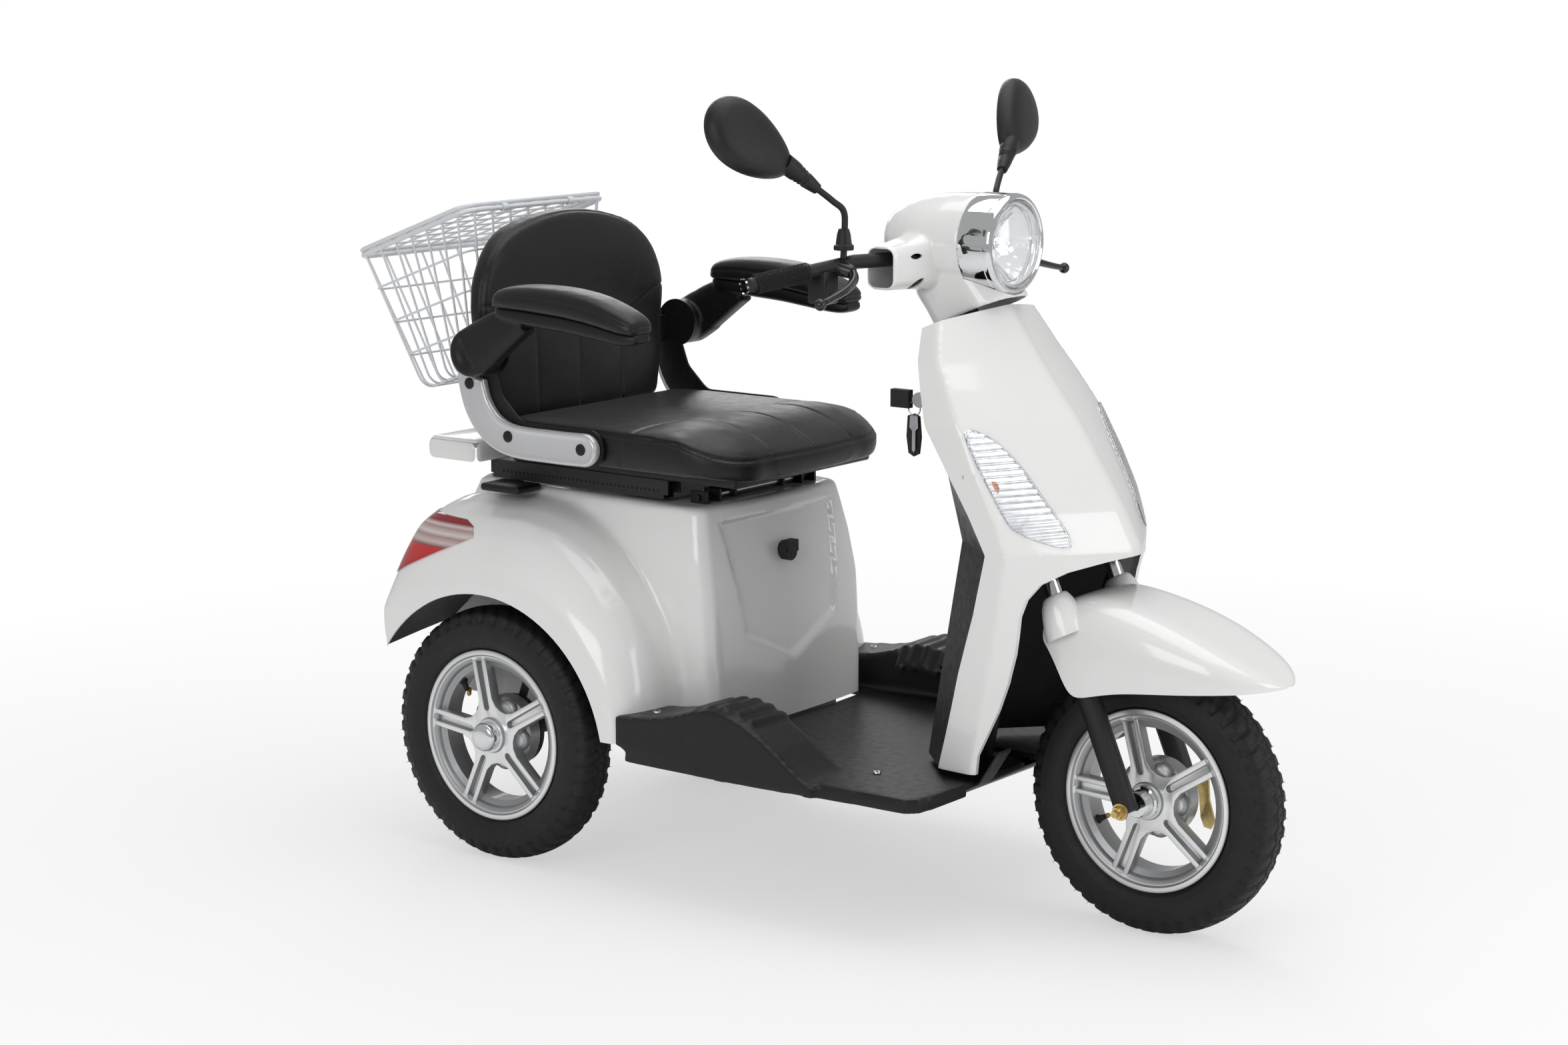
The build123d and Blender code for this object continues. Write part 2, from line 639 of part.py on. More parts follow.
def shield_solid(shrink):
    """Solid inside the leg shield's outer surface, drawn in by a distance."""
    faces = []
    for z, edge_back, crease_back, half_w, nose_back, _ in SHIELD_SECTIONS:
        edge_x = WHEELBASE - edge_back - 0.6 * shrink
        crease_x, nose_x = WHEELBASE - crease_back - shrink, WHEELBASE - nose_back - shrink
        half_w = half_w - shrink
        mid_x, mid_y = crease_x * 0.42 + nose_x * 0.58 + 3, half_w * 0.5
        outline = [
            Line((edge_x, SHIELD_TOE_IN - half_w, z), (crease_x, -half_w, z)),
            ThreePointArc((crease_x, -half_w, z), (mid_x, -mid_y, z), (nose_x, -18, z)),
            ThreePointArc((nose_x, -18, z), (nose_x + 4, 0, z), (nose_x, 18, z)),
            ThreePointArc((nose_x, 18, z), (mid_x, mid_y, z), (crease_x, half_w, z)),
            Line((crease_x, half_w, z), (edge_x, half_w - SHIELD_TOE_IN, z)),
            Line((edge_x, half_w - SHIELD_TOE_IN, z), (edge_x, SHIELD_TOE_IN - half_w, z)),
        ]
        faces.append(make_face(outline))
    return loft(faces, ruled=True)


def above_stem(s):
    """Everything beyond height s along the steering stem."""
    return extrude(stem_plane(s) * Rectangle(900, 900), 600)


def shield_shell(wall):
    """The leg shield's walls before it is trimmed: closed in front and open behind."""
    inside = shield_solid(wall)
    return shield_solid(0) - inside - Pos(-12, 0, 0) * inside


def make_leg_shield():
    """White leg shield: a pointed front with its sides, cut for the front wheel, open behind."""
    arch = side_profile([(WHEELBASE + x, z) for x, z in SHIELD_ARCH], -300, 300)
    shell = shield_shell(SHIELD_WALL) - arch - above_stem(SHIELD_TOP_S)
    return max(shell.solids(), key=lambda solid: solid.volume)


def inner_solid(shrink):
    """Solid of the bulge that closes the leg shield towards the rider."""
    faces = []
    for z, edge_back, crease_back, half_w, _, bulge_back in SHIELD_SECTIONS:
        edge_x, crease_x, bulge_x = (WHEELBASE - back for back in (edge_back, crease_back, bulge_back))
        toe_in = SHIELD_TOE_IN / (crease_x - edge_x)
        half_w = half_w - SHIELD_WALL + INNER_SHIELD_SPARE - shrink
        bulge_w, bulge_x = half_w * BULGE_SHARE, bulge_x + shrink
        rear_x, front_x = edge_x + 4, edge_x + 18
        rear_w, front_w = half_w - (crease_x - rear_x) * toe_in, half_w - (crease_x - front_x) * toe_in
        outline = Polyline(
            (rear_x, -rear_w, z),
            (bulge_x, -bulge_w, z),
            (bulge_x, bulge_w, z),
            (rear_x, rear_w, z),
            (front_x, front_w, z),
            (front_x, -front_w, z),
            close=True,
        )
        faces.append(make_face(outline))
    return loft(faces, ruled=True)


def make_inner_shield():
    """Black inner shield: bulges towards the rider over the steering tube, with a pocket mouth."""
    inside = inner_solid(INNER_SHIELD_WALL)
    panel = inner_solid(0) - inside - Pos(INNER_SHIELD_WALL * 3, 0, 0) * inside
    panel = panel - Pos(INNER_SHIELD_WALL * 5, 0, 0) * inside
    panel = panel - above_stem(SHIELD_TOP_S - 14)
    panel = panel - shield_shell(SHIELD_WALL + GAP)
    return max(panel.solids(), key=lambda solid: solid.volume)


SIGNAL_OUTLINE = [(-186, 772), (-150, 735), (-116, 612), (-190, 628), (-194, 690)]  # y, z from the front
SIGNAL_PROUD = 5.0


def make_signals():
    """Turn signal lenses, let into the leg shield's front on either side of its nose."""
    rear_x = WHEELBASE - 400
    face = make_face(Polyline(*[(rear_x, y, z) for y, z in SIGNAL_OUTLINE], close=True))
    prism = extrude(face, amount=500, dir=(1, 0, 0))
    lens = (shield_solid(-SIGNAL_PROUD) - shield_solid(-GAP)) & prism
    lens = max(lens.solids(), key=lambda solid: solid.volume)
    return both(lens)


SOCKET_Z = 511.0
SOCKET_R = 15.0
SOCKET_LENGTH = 18.0


def make_socket():
    """Charging socket with its cap, on the front of the body."""
    front_x = TUB_SECTIONS[1][1] + 8 - RECESS_DEPTH - (SOCKET_Z - 450) * 0.2
    body = rod((front_x - 4, 0, SOCKET_Z), (front_x + SOCKET_LENGTH, 0, SOCKET_Z), SOCKET_R)
    cap = block(front_x + 6, front_x + SOCKET_LENGTH + 4, -13, 13, SOCKET_Z, SOCKET_Z + 19)
    return body + cap - tub(RECESS_DEPTH - GAP)


KEY_Y = -100.0
KEY_Z = 800.0
KEY_BACK = 334.0


def make_key_lock():
    """Ignition lock in the inner shield with its key and fob."""
    face_x = WHEELBASE - KEY_BACK
    lock = rod((face_x - 26, KEY_Y, KEY_Z), (face_x + 14, KEY_Y, KEY_Z), 11)
    key = block(face_x - 58, face_x - 24, KEY_Y - 1, KEY_Y + 1, KEY_Z - 5, KEY_Z + 5)
    fob = block(face_x - 92, face_x - 58, KEY_Y - 6, KEY_Y + 6, KEY_Z - 14, KEY_Z + 14)
    return lock + key + fob - inner_solid(-GAP)


HINGE_LUG_T = 5.0
HINGE_PIN_R = 5.0
HINGE_PIN_CLEARANCE = 0.05


def make_seat_hinges():
    """Two forked brackets on the body's front edge, with the pins that the seat tilts on."""
    pieces = []
    for y in (-SEAT_AXIS_Y, SEAT_AXIS_Y):
        base = block(SEAT_AXIS_X - 24, SEAT_AXIS_X + 24, y - 20, y + 20, DECK_TOP - 26, DECK_TOP - 21)
        bracket = base
        for side in (-1, 1):
            lug_y = y + side * (20 - HINGE_LUG_T / 2)
            lug = block(
                SEAT_AXIS_X - 16,
                SEAT_AXIS_X + 16,
                lug_y - HINGE_LUG_T / 2,
                lug_y + HINGE_LUG_T / 2,
                DECK_TOP - 24,
                SEAT_AXIS_Z + 11,
            )
            bracket = bracket + lug
        bracket = bracket + bar_y(SEAT_AXIS_X, SEAT_AXIS_Z, HINGE_PIN_R, y - 24, y + 24)
        pieces.append(bracket)
    return pieces


BELLY_HALF_W = 165.0
BELLY_WALL = 4.0
BELLY_WHEEL_ROOM = 37.0
# skirt line: back from the front axle, z
BELLY_LINE = [(182, 286), (216, 234), (296, 190), (324, 181), (366, 176)]
BELLY_WHEEL_HALF_W = 128.0


def make_belly():
    """Black lower skirt: a bent plate that closes the leg shield's foot from below."""
    line = [(WHEELBASE - back, z) for back, z in BELLY_LINE]
    under = [(x, z - BELLY_WALL) for x, z in reversed(line)]
    skirt = side_profile(line + under, -BELLY_HALF_W, BELLY_HALF_W)
    side_top = FLOOR_SKIRT_BOTTOM - GAP
    side_line = line[2:] + [(line[-1][0], side_top), (FLOOR_FRONT_X - 30, side_top)]
    for y in (-BELLY_HALF_W, BELLY_HALF_W - BELLY_WALL):
        skirt = skirt + side_profile(side_line, y, y + BELLY_WALL)
    wheel_x = WHEELBASE - TYRE_R - BELLY_WHEEL_ROOM
    wheel_space = block(wheel_x, wheel_x + 90, -BELLY_WHEEL_HALF_W, BELLY_WHEEL_HALF_W, 0, 400)
    skirt = skirt - wheel_space
    return max(skirt.solids(), key=lambda solid: solid.volume)


# Steering
FORK_YOKE_HALF_W = 108.0
FRONT_NUT_T = 8.0


def make_fork():
    """Steering stem, yoke, two telescopic legs and the front axle."""
    stem = extrude(stem_plane(YOKE_LOW) * Circle(STEM_R), STEM_TOP - YOKE_LOW)
    half_w, reach = FORK_YOKE_HALF_W, FORK_OFFSET + 20
    outline = [(-24, -26), (-24, 26), (FORK_OFFSET - 22, half_w), (reach, half_w), (reach, -half_w)]
    outline = outline + [(FORK_OFFSET - 22, -half_w)]
    yoke_face = stem_plane(YOKE_LOW) * make_face(Polyline(*outline, close=True))
    yoke = extrude(yoke_face, YOKE_HIGH - YOKE_LOW)
    fork = stem + fillet(yoke.edges().filter_by(Axis(on_stem(0), stem_plane(0).z_dir)), 10)
    for y in (-FORK_HALF_W, FORK_HALF_W):
        stanchion = extrude(stem_plane(100, FORK_OFFSET, y) * Circle(STANCHION_R), YOKE_LOW - 100)
        leg = extrude(stem_plane(-22, FORK_OFFSET, y) * Circle(FORK_LEG_R), FORK_LEG_TOP + 22)
        fork = fork + stanchion + leg
    end_y = FORK_HALF_W + FORK_LEG_R + FRONT_NUT_T
    fork = fork + bar_y(WHEELBASE, AXLE_Z, AXLE_R, -end_y, end_y)
    return fork


FENDER_HALF_WIDTH_FRONT = 113.0
# outline of the front fender: x from the front axle, z; the first three points are its rear edge
FRONT_FENDER_OUTLINE = [
    (-139, 459),
    (-88, 369),
    (-16, 392),
    (54, 400),
    (211, 414),
    (220, 411),
    (196, 440),
    (133, 476),
    (74, 498),
    (26, 509),
    (-26, 520),
    (-66, 531),
    (-104, 528),
]
# plan of its right edge: x from the front axle, y
FRONT_FENDER_PLAN = [(-166, -108), (-66, -113), (54, -110), (164, -84), (209, -40), (220, 0)]


def make_front_fender():
    """White front fender: a hood over the wheel, open below and behind."""
    line = [(WHEELBASE + x, z) for x, z in FRONT_FENDER_OUTLINE]
    rear_x, rear_z = line[0]
    tip_x, low_z = line[5][0], line[1][1]
    outside = side_profile(line, -FENDER_HALF_WIDTH_FRONT, FENDER_HALF_WIDTH_FRONT)
    plan = [(WHEELBASE + x, y) for x, y in FRONT_FENDER_PLAN]
    plan = plan + [(x, -y) for x, y in reversed(plan[:-1])]
    outside = outside & extrude(make_face(Polyline(*[(x, y, 300) for x, y in plan], close=True)), 300)
    roof = [(x, z - FENDER_WALL) for x, z in line[5:]]
    roof[0] = (tip_x - 2 * FENDER_WALL, roof[0][1])
    mouth = [(rear_x + 4, rear_z - 4), (rear_x + 4, low_z - 60), (tip_x + 4, low_z - 60)]
    inside = side_profile(roof + mouth, -200, 200)
    inner_plan = offset(make_face(Polyline(*plan, close=True)), -FENDER_WALL)
    inside = inside & extrude(Plane.XY.offset(300) * inner_plan, 300)
    hood = outside - inside
    for y in (-FORK_HALF_W, FORK_HALF_W):
        hole = extrude(stem_plane(150, FORK_OFFSET, y) * Circle(STANCHION_R + 3), 300)
        hood = hood - hole
    return max(hood.solids(), key=lambda solid: solid.volume)


HEAD = on_stem(STEM_TOP)  # the stem's top, from which the bars, cowl and headlight are measured
HEADLIGHT_Z = HEAD.Z + 37.2
HEADLIGHT_R = 76.0
HEADLIGHT_REAR_X = HEAD.X + 58.0
HEADLIGHT_FRONT_X = HEADLIGHT_REAR_X + 60.0
COWL_REAR_X = HEAD.X - 116.0
COWL_WING = (-29.9, 3.2, 52.0, 66.0)  # its end: ahead of the stem's top, above it, length, height
COWL_WING_MIDDLE = (-17.9, 11.2, 84.0, 96.0)
COWL_HALF_W = 152.0
COWL_BACK_R = 66.0
LENS_DOME = 17.0
LENS_RADIUS = 130.0


def cowl_solids(shrink):
    """Solids inside the cowl's outer surface: headlight barrel, neck and handlebar wings."""
    past = 2 * shrink
    z = HEADLIGHT_Z
    front_x = HEADLIGHT_REAR_X + past
    front_r, back_r = HEADLIGHT_R - shrink, COWL_BACK_R - shrink
    back_x = COWL_REAR_X + COWL_BACK_R
    slope = math.radians(82)
    back_top = (back_x + back_r * math.cos(slope), 0, z + back_r * math.sin(slope))
    back_mid = (back_x - back_r * math.sin(slope / 2), 0, z + back_r * math.cos(slope / 2))
    section = make_face(
        [
            Polyline((back_x - back_r, 0, z), (front_x, 0, z), (front_x, 0, z + front_r)),
            Polyline((front_x, 0, z + front_r), (HEAD.X + 18, 0, z + front_r - 1), back_top),
            ThreePointArc(back_top, back_mid, (back_x - back_r, 0, z)),
        ]
    )
    barrel = revolve(section, Axis((0, 0, z), (1, 0, 0)))
    neck = loft(
        [
            stem_plane(SHIELD_TOP_S + NECK_GAP - past, 24) * RectangleRounded(144 - past, 120 - past, 44),
            stem_plane(STEM_TOP - 28, 8) * RectangleRounded(140 - past, 118 - past, 44),
            stem_plane(STEM_TOP + 32, 8) * RectangleRounded(130 - past, 112 - past, 44),
        ],
        ruled=True,
    )
    end = COWL_HALF_W + past
    sections = []
    for y, (ahead, above, wide, high), corner in (
        (-end, COWL_WING, 12),
        (0, COWL_WING_MIDDLE, 16),
        (end, COWL_WING, 12),
    ):
        plane = Plane(origin=(HEAD.X + ahead, y, HEAD.Z + above), z_dir=(0, 1, 0))
        sections.append(plane * RectangleRounded(wide - past, high - past, corner))
    wing = loft(sections, ruled=True)
    return [barrel, neck, wing]


def make_cowl():
    """White handlebar cowl: hollow, open towards the bars, the stem and the headlight."""
    shell = fuse(*cowl_solids(0))
    for inside in cowl_solids(COWL_WALL):
        shell = shell - inside
    lamp_x = HEADLIGHT_REAR_X
    shell = shell - rod((lamp_x, 0, HEADLIGHT_Z), (lamp_x + 90, 0, HEADLIGHT_Z), HEADLIGHT_R + 1 + GAP)
    return max(shell.solids(), key=lambda solid: solid.volume)


def make_headlight():
    """Round headlight: chromed bezel with a domed lens."""
    z = HEADLIGHT_Z
    x0, x1 = HEADLIGHT_REAR_X + GAP, HEADLIGHT_FRONT_X
    bezel_r, lens_r = HEADLIGHT_R + 1, HEADLIGHT_R - 9
    half_angle = math.asin(lens_r / LENS_RADIUS) / 2
    centre_x = x1 + LENS_DOME - LENS_RADIUS
    lens_edge = (centre_x + LENS_RADIUS * math.cos(2 * half_angle), 0, z + lens_r)
    lens_mid = (centre_x + LENS_RADIUS * math.cos(half_angle), 0, z + LENS_RADIUS * math.sin(half_angle))
    section = make_face(
        [
            Polyline((x1 + LENS_DOME, 0, z), (x0, 0, z), (x0, 0, z + bezel_r), (x1 - 5, 0, z + bezel_r)),
            Polyline((x1 - 5, 0, z + bezel_r), (x1, 0, z + bezel_r - 4), (x1, 0, z + lens_r + 3), lens_edge),
            ThreePointArc(lens_edge, lens_mid, (x1 + LENS_DOME, 0, z)),
        ]
    )
    return revolve(section, Axis((0, 0, z), (1, 0, 0)))


BAR_R = 11.0
# right half of the bar: ahead of the stem's top, across, above it
BAR_BENDS = [(-126, -352, -12), (-53, -190, 15), (-10, -80, 16)]
BAR_PATH = [(HEAD.X + ahead, y, HEAD.Z + above) for ahead, y, above in BAR_BENDS]
LEVER_TIP = (-7.0, -338.0, -34.0)  # lever's ball, measured in the same way
GRIP_START_Y = 246.0
GRIP_END_Y = 352.0
GRIP_R = 16.0
GRIP_FIT = 0.1


def make_handlebar():
    """Handlebar tube with its clamp on the stem's top."""
    path = BAR_PATH + [(x, -y, z) for x, y, z in reversed(BAR_PATH)]
    bar = pipe(path, BAR_R, 40)
    clamp = extrude(stem_plane(STEM_TOP) * Rectangle(44, 60), 30)
    return bar + clamp


def bar_point(y):
    """Point of the right-hand bar's outer run at a given width."""
    (x0, y0, z0), (x1, y1, z1) = BAR_PATH[0], BAR_PATH[1]
    t = (-y - y0) / (y1 - y0)
    return Vector(x0 + t * (x1 - x0), -y, z0 + t * (z1 - z0))


def make_grips():
    """Grips with flanges and bar ends."""
    start, end = bar_point(GRIP_START_Y), bar_point(GRIP_END_Y)
    along = (end - start).normalized()
    grip = rod(start, end + along * 8, GRIP_R) - rod(start - along * 5, end + along * GRIP_FIT, BAR_R + GRIP_FIT)
    flange = rod(start, start + along * 5, GRIP_R + 4) - rod(start - along, start + along * 9, BAR_R + GRIP_FIT)
    return both(grip + flange)


def make_levers():
    """Brake levers with their clamps and the switch blocks beside the grips."""
    a, b = bar_point(206), bar_point(240)
    clamp = rod(a, b, 20)
    switch = block(a.X - 30, a.X - 8, -236, -208, a.Z - 30, a.Z - 4)
    mount = block(a.X + 14, a.X + 42, -238, -206, a.Z - 26, a.Z - 8)
    ahead, tip_y, above = LEVER_TIP
    tip = (HEAD.X + ahead, tip_y, HEAD.Z + above)
    lever = rod((a.X + 34, -228, a.Z - 18), tip, 5)
    ball = Pos(*tip) * Sphere(9)
    foot = rod(bar_point(207) + Vector(4, 0, 16), bar_point(207) + Vector(4, 0, 46), 8)
    whole = clamp + switch + mount + lever + ball + foot
    return both(whole - rod(a - (b - a) * 0.3, b + (b - a) * 0.3, BAR_R + GRIP_FIT))


# mirror head's centre and neck, and the bend of its stem: ahead of the stem's top, across, above it
MIRROR_CENTRE = (-115.0, -361.0, 204.0)
MIRROR_NECK = (-86.0, -284.0, 151.0)
MIRROR_BEND = (-79.0, -261.0, 133.0)
MIRROR_LENGTH = 165.0
MIRROR_WIDTH = 108.0
MIRROR_DEPTH = 30.0


def make_mirrors():
    """Rear-view mirrors: bent stems, boots and teardrop heads that face the rider."""
    base = bar_point(207) + Vector(4, 0, 46 + GAP)
    above_head = Vector(HEAD.X, 0, HEAD.Z)
    centre, neck, bend = (above_head + Vector(*p) for p in (MIRROR_CENTRE, MIRROR_NECK, MIRROR_BEND))
    direction = (centre - neck).normalized()
    stem_end = centre - direction * MIRROR_LENGTH * 0.45
    stem = pipe([base, base + Vector(0, 0, 24), bend, stem_end], 5, 14)
    facing = Vector(-1, -0.2, 0)
    facing = facing - direction * facing.dot(direction)
    head_plane = Plane(origin=centre, x_dir=direction, z_dir=facing)
    half = MIRROR_LENGTH / 2
    outline = make_face(
        [
            ThreePointArc((-half, -16), (half * 0.1, -MIRROR_WIDTH / 2), (half * 0.8, -MIRROR_WIDTH * 0.34)),
            ThreePointArc((half * 0.8, -MIRROR_WIDTH * 0.34), (half, 0), (half * 0.8, MIRROR_WIDTH * 0.34)),
            ThreePointArc((half * 0.8, MIRROR_WIDTH * 0.34), (half * 0.1, MIRROR_WIDTH / 2), (-half, 16)),
            Line((-half, 16), (-half, -16)),
        ]
    )
    head = extrude(head_plane * outline, amount=MIRROR_DEPTH / 2, both=True)
    return both(stem + head)


# Seat
RAIL_SIZE = (372.0, 26.0, 30.0)  # slide rail length, width and height
RAIL_REAR_X = -125.0
SEAT_RAIL_Y = 165.0
SEAT_RAIL_Z = 610.0
SEAT_PAN_Z = 652.0
SEAT_PAN_T = 6.0
CUSHION_BOTTOM = SEAT_PAN_Z + SEAT_PAN_T + GAP
CUSHION_TOP = 728.0
CUSHION_REAR_X = -58.0
CUSHION_FRONT_X = 516.0
CUSHION_HALF_W = 238.0
BACK_HALF_W = 202.0
BACK_LEAN = 2.2
BACK_THICKNESS = 60.0
BACK_SWELL = 1.6  # how far its sides stand out past that
ARM_PLATE_Y = 241.0
ARM_PLATE_T = 4.0
ARM_COVER_T = 16.0
ARM_LINE = [(-92, 812), (-66, 742), (-10, 690), (146, 690)]
ARM_WIDTH = 54.0
ARM_EDGE = 8.0  # how much wider the black plate is than its cover
PIVOT_X = -65.0
PIVOT_Z = 834.0
PIVOT_R = 43.0
PIVOT_PIN_R = 8.0
PIVOT_GAP = 1.0
ARMREST_OUTER_Y = 299.0


def make_seat_buffers():
    """Rubber buffers between the body's deck and the seat rails."""
    return both(rod((-90, -155, DECK_TOP + GAP), (-90, -155, SEAT_RAIL_Z - GAP), 12))


def make_seat_frame():
    """Seat frame: slide rails, cross members, pan, hinge tongues and the paddle lever."""
    length, width, height = RAIL_SIZE
    front_x = RAIL_REAR_X + length
    frame = block(RAIL_REAR_X + 40, CUSHION_FRONT_X - 110, -205, 205, SEAT_PAN_Z, SEAT_PAN_Z + SEAT_PAN_T)
    for y in (-SEAT_RAIL_Y, SEAT_RAIL_Y):
        rail = block(
            RAIL_REAR_X, front_x, y - width / 2, y + width / 2, SEAT_RAIL_Z, SEAT_RAIL_Z + height
        )
        slider = block(RAIL_REAR_X + 30, front_x - 20, y - 9, y + 9, SEAT_RAIL_Z + height - 4, SEAT_PAN_Z + 1)
        frame = frame + rail + slider
    for x in (RAIL_REAR_X + 20, front_x - 30):
        frame = frame + block(x, x + 24, -SEAT_RAIL_Y, SEAT_RAIL_Y, SEAT_RAIL_Z + 4, SEAT_RAIL_Z + 20)
    for y in (-SEAT_AXIS_Y, SEAT_AXIS_Y):
        tongue = block(front_x - 20, SEAT_AXIS_X, y - 12, y + 12, SEAT_AXIS_Z - 2, SEAT_AXIS_Z + 12)
        tongue = tongue + bar_y(SEAT_AXIS_X, SEAT_AXIS_Z, 12, y - 12, y + 12)
        link = block(front_x - 20, front_x + 4, y - 12, y + SEAT_RAIL_Y - SEAT_AXIS_Y, SEAT_AXIS_Z, SEAT_AXIS_Z + 14)
        link = link + block(front_x - 20, front_x + 4, y - 40, y + 40, SEAT_AXIS_Z, SEAT_AXIS_Z + 14)
        bore = bar_y(SEAT_AXIS_X, SEAT_AXIS_Z, HINGE_PIN_R + HINGE_PIN_CLEARANCE, y - 30, y + 30)
        frame = frame + tongue + link - bore
    lever = block(-70, 0, -252, -186, SEAT_RAIL_Z + 2, SEAT_RAIL_Z + 12)
    lever = lever + block(-92, 4, -262, -218, SEAT_RAIL_Z - 2, SEAT_RAIL_Z + 12)
    frame = frame + lever + block(-50, -30, -200, -170, SEAT_RAIL_Z + 2, SEAT_RAIL_Z + 12)
    for side in (-1, 1):
        tab_top = ARM_LINE[-1][1] - (ARM_WIDTH + ARM_EDGE) / 2 - GAP
        inner, outer = side * (ARM_PLATE_Y - 1), side * (ARM_PLATE_Y + 16)
        tab = block(40, 150, min(inner, outer), max(inner, outer), SEAT_PAN_Z, tab_top)
        tab = tab + block(40, 150, min(side * 200, outer), max(side * 200, outer), SEAT_PAN_Z, SEAT_PAN_Z + SEAT_PAN_T)
        frame = frame + tab
    return frame


def make_cushion():
    """Seat cushion: wide at the front with rounded corners, straight at the back."""
    half = CUSHION_HALF_W
    front = CUSHION_FRONT_X
    rear = CUSHION_REAR_X
    outline = make_face(
        [
            Line((rear, -half + 24), (rear, half - 24)),
            Line((rear, half - 24), (rear + 60, half)),
            Line((rear + 60, half), (front - 170, half)),
            ThreePointArc((front - 170, half), (front - 48, half - 54), (front - 8, half - 140)),
            ThreePointArc((front - 8, half - 140), (front, 0), (front - 8, 140 - half)),
            ThreePointArc((front - 8, 140 - half), (front - 48, 54 - half), (front - 170, -half)),
            Line((front - 170, -half), (rear + 60, -half)),
            Line((rear + 60, -half), (rear, -half + 24)),
        ]
    )
    cushion = extrude(Pos(0, 0, CUSHION_BOTTOM) * outline, CUSHION_TOP - CUSHION_BOTTOM)
    return chamfer(cushion.faces().sort_by(Axis.Z)[-1].edges(), 14)


def make_backrest():
    """Backrest: leans back and narrows towards its rounded top."""
    half = BACK_HALF_W
    outline = make_face(
        [
            Line((-half + 30, 0), (half - 30, 0)),
            ThreePointArc((half - 30, 0), (half - 4, 60), (half, 130)),
            ThreePointArc((half, 130), (half - 22, 250), (half - 80, 312)),
            ThreePointArc((half - 80, 312), (0, 334), (80 - half, 312)),
            ThreePointArc((80 - half, 312), (22 - half, 250), (-half, 130)),
            ThreePointArc((-half, 130), (4 - half, 60), (-half + 30, 0)),
        ]
    )
    lean = BACK_LEAN
    plane = Plane(
        origin=(-74, 0, 732),
        x_dir=(0, 1, 0),
        z_dir=(-math.cos(math.radians(lean)), 0, -math.sin(math.radians(lean))),
    )
    return extrude(plane * mirror(outline, about=Plane.XZ), BACK_THICKNESS)


def arm_band(width, y0, y1):
    """Bent band of the seat's side arm between two distances from the middle, right side."""
    path = FilletPolyline(*[(x, 0, z) for x, z in ARM_LINE], radius=60)
    points = [path @ (n / 24) for n in range(25)]
    left_side = []
    right_side = []
    for n in range(25):
        tangent = path % (n / 24)
        normal = Vector(-tangent.Z, 0, tangent.X)
        left_side.append(points[n] + normal * width / 2)
        right_side.append(points[n] - normal * width / 2)
    outline = [(p.X, p.Z) for p in left_side + list(reversed(right_side))]
    shape = side_profile(outline, -y1, -y0)
    for x, z in (ARM_LINE[0], ARM_LINE[-1]):
        shape = shape + bar_y(x, z, width / 2, -y1, -y0)
    return shape


def make_arm_carriers():
    """Black inner plates of the side arms: they hold the backrest, the covers and the armrests."""
    y0, y1 = ARM_PLATE_Y, ARM_PLATE_Y + ARM_PLATE_T
    plate = arm_band(ARM_WIDTH + ARM_EDGE, y0, y1)
    plate = plate + bar_y(PIVOT_X, PIVOT_Z, PIVOT_R - 2, -y1, -y0)
    plate = plate + bar_y(PIVOT_X, PIVOT_Z, PIVOT_PIN_R, -ARMREST_OUTER_Y + 12, -y0)
    plate = plate + block(-130, -84, -y1, -BACK_HALF_W - BACK_SWELL - GAP, 800, 846)
    return both(plate)


def make_arm_covers():
    """Silver covers of the side arms."""
    y0 = ARM_PLATE_Y + ARM_PLATE_T + GAP
    cover = arm_band(ARM_WIDTH, y0, y0 + ARM_COVER_T)
    space = bar_y(PIVOT_X, PIVOT_Z, PIVOT_R + 5, -y0 - 40, -y0 + 10)
    cover = cover - space
    return both(max(cover.solids(), key=lambda solid: solid.volume))


def make_armrests():
    """Arms of the armrests, turning on the side arms' pins."""
    y0 = ARM_PLATE_Y + ARM_PLATE_T + PIVOT_GAP
    boss = bar_y(PIVOT_X, PIVOT_Z, PIVOT_R, -ARMREST_OUTER_Y, -y0)
    arm = side_profile(
        [(-80, 872), (-40, 800), (60, 862), (150, 872), (276, 868), (284, 884), (150, 892), (0, 886)],
        -ARMREST_OUTER_Y + 4,
        -y0 - 2,
    )
    bore = bar_y(PIVOT_X, PIVOT_Z, PIVOT_PIN_R + HINGE_PIN_CLEARANCE, -ARMREST_OUTER_Y + 11, -y0 + 5)
    return boss + arm - bore


def make_armrest_pad():
    """Padded top of an armrest."""
    pad = block(-6, 292, -318, -246, 892 + GAP, 930)
    return chamfer(pad.edges().filter_by(Axis.X).group_by(Axis.Z)[-1], 10)


# Basket
RIM_REAR = (-425.0, 960.0)
RIM_FRONT = (-174.0, 1052.0)
FLOOR_REAR = (-314.0, 738.0)
FLOOR_FRONT = (-182.0, 786.0)
RIM_HALF_WIDTH = 180.0
FLOOR_HALF_WIDTH = 150.0
WIRE = 4.0
LID_RIM = 8.0
RIM_CORNER_R = 26.0
LID_LOOP_Y = 84.0
LID_LOOP_WALL = 2.5
RIM_WIRE = 9.0
HOOPS = 4
SIDE_WIRES = 6
CROSS_WIRES = 7


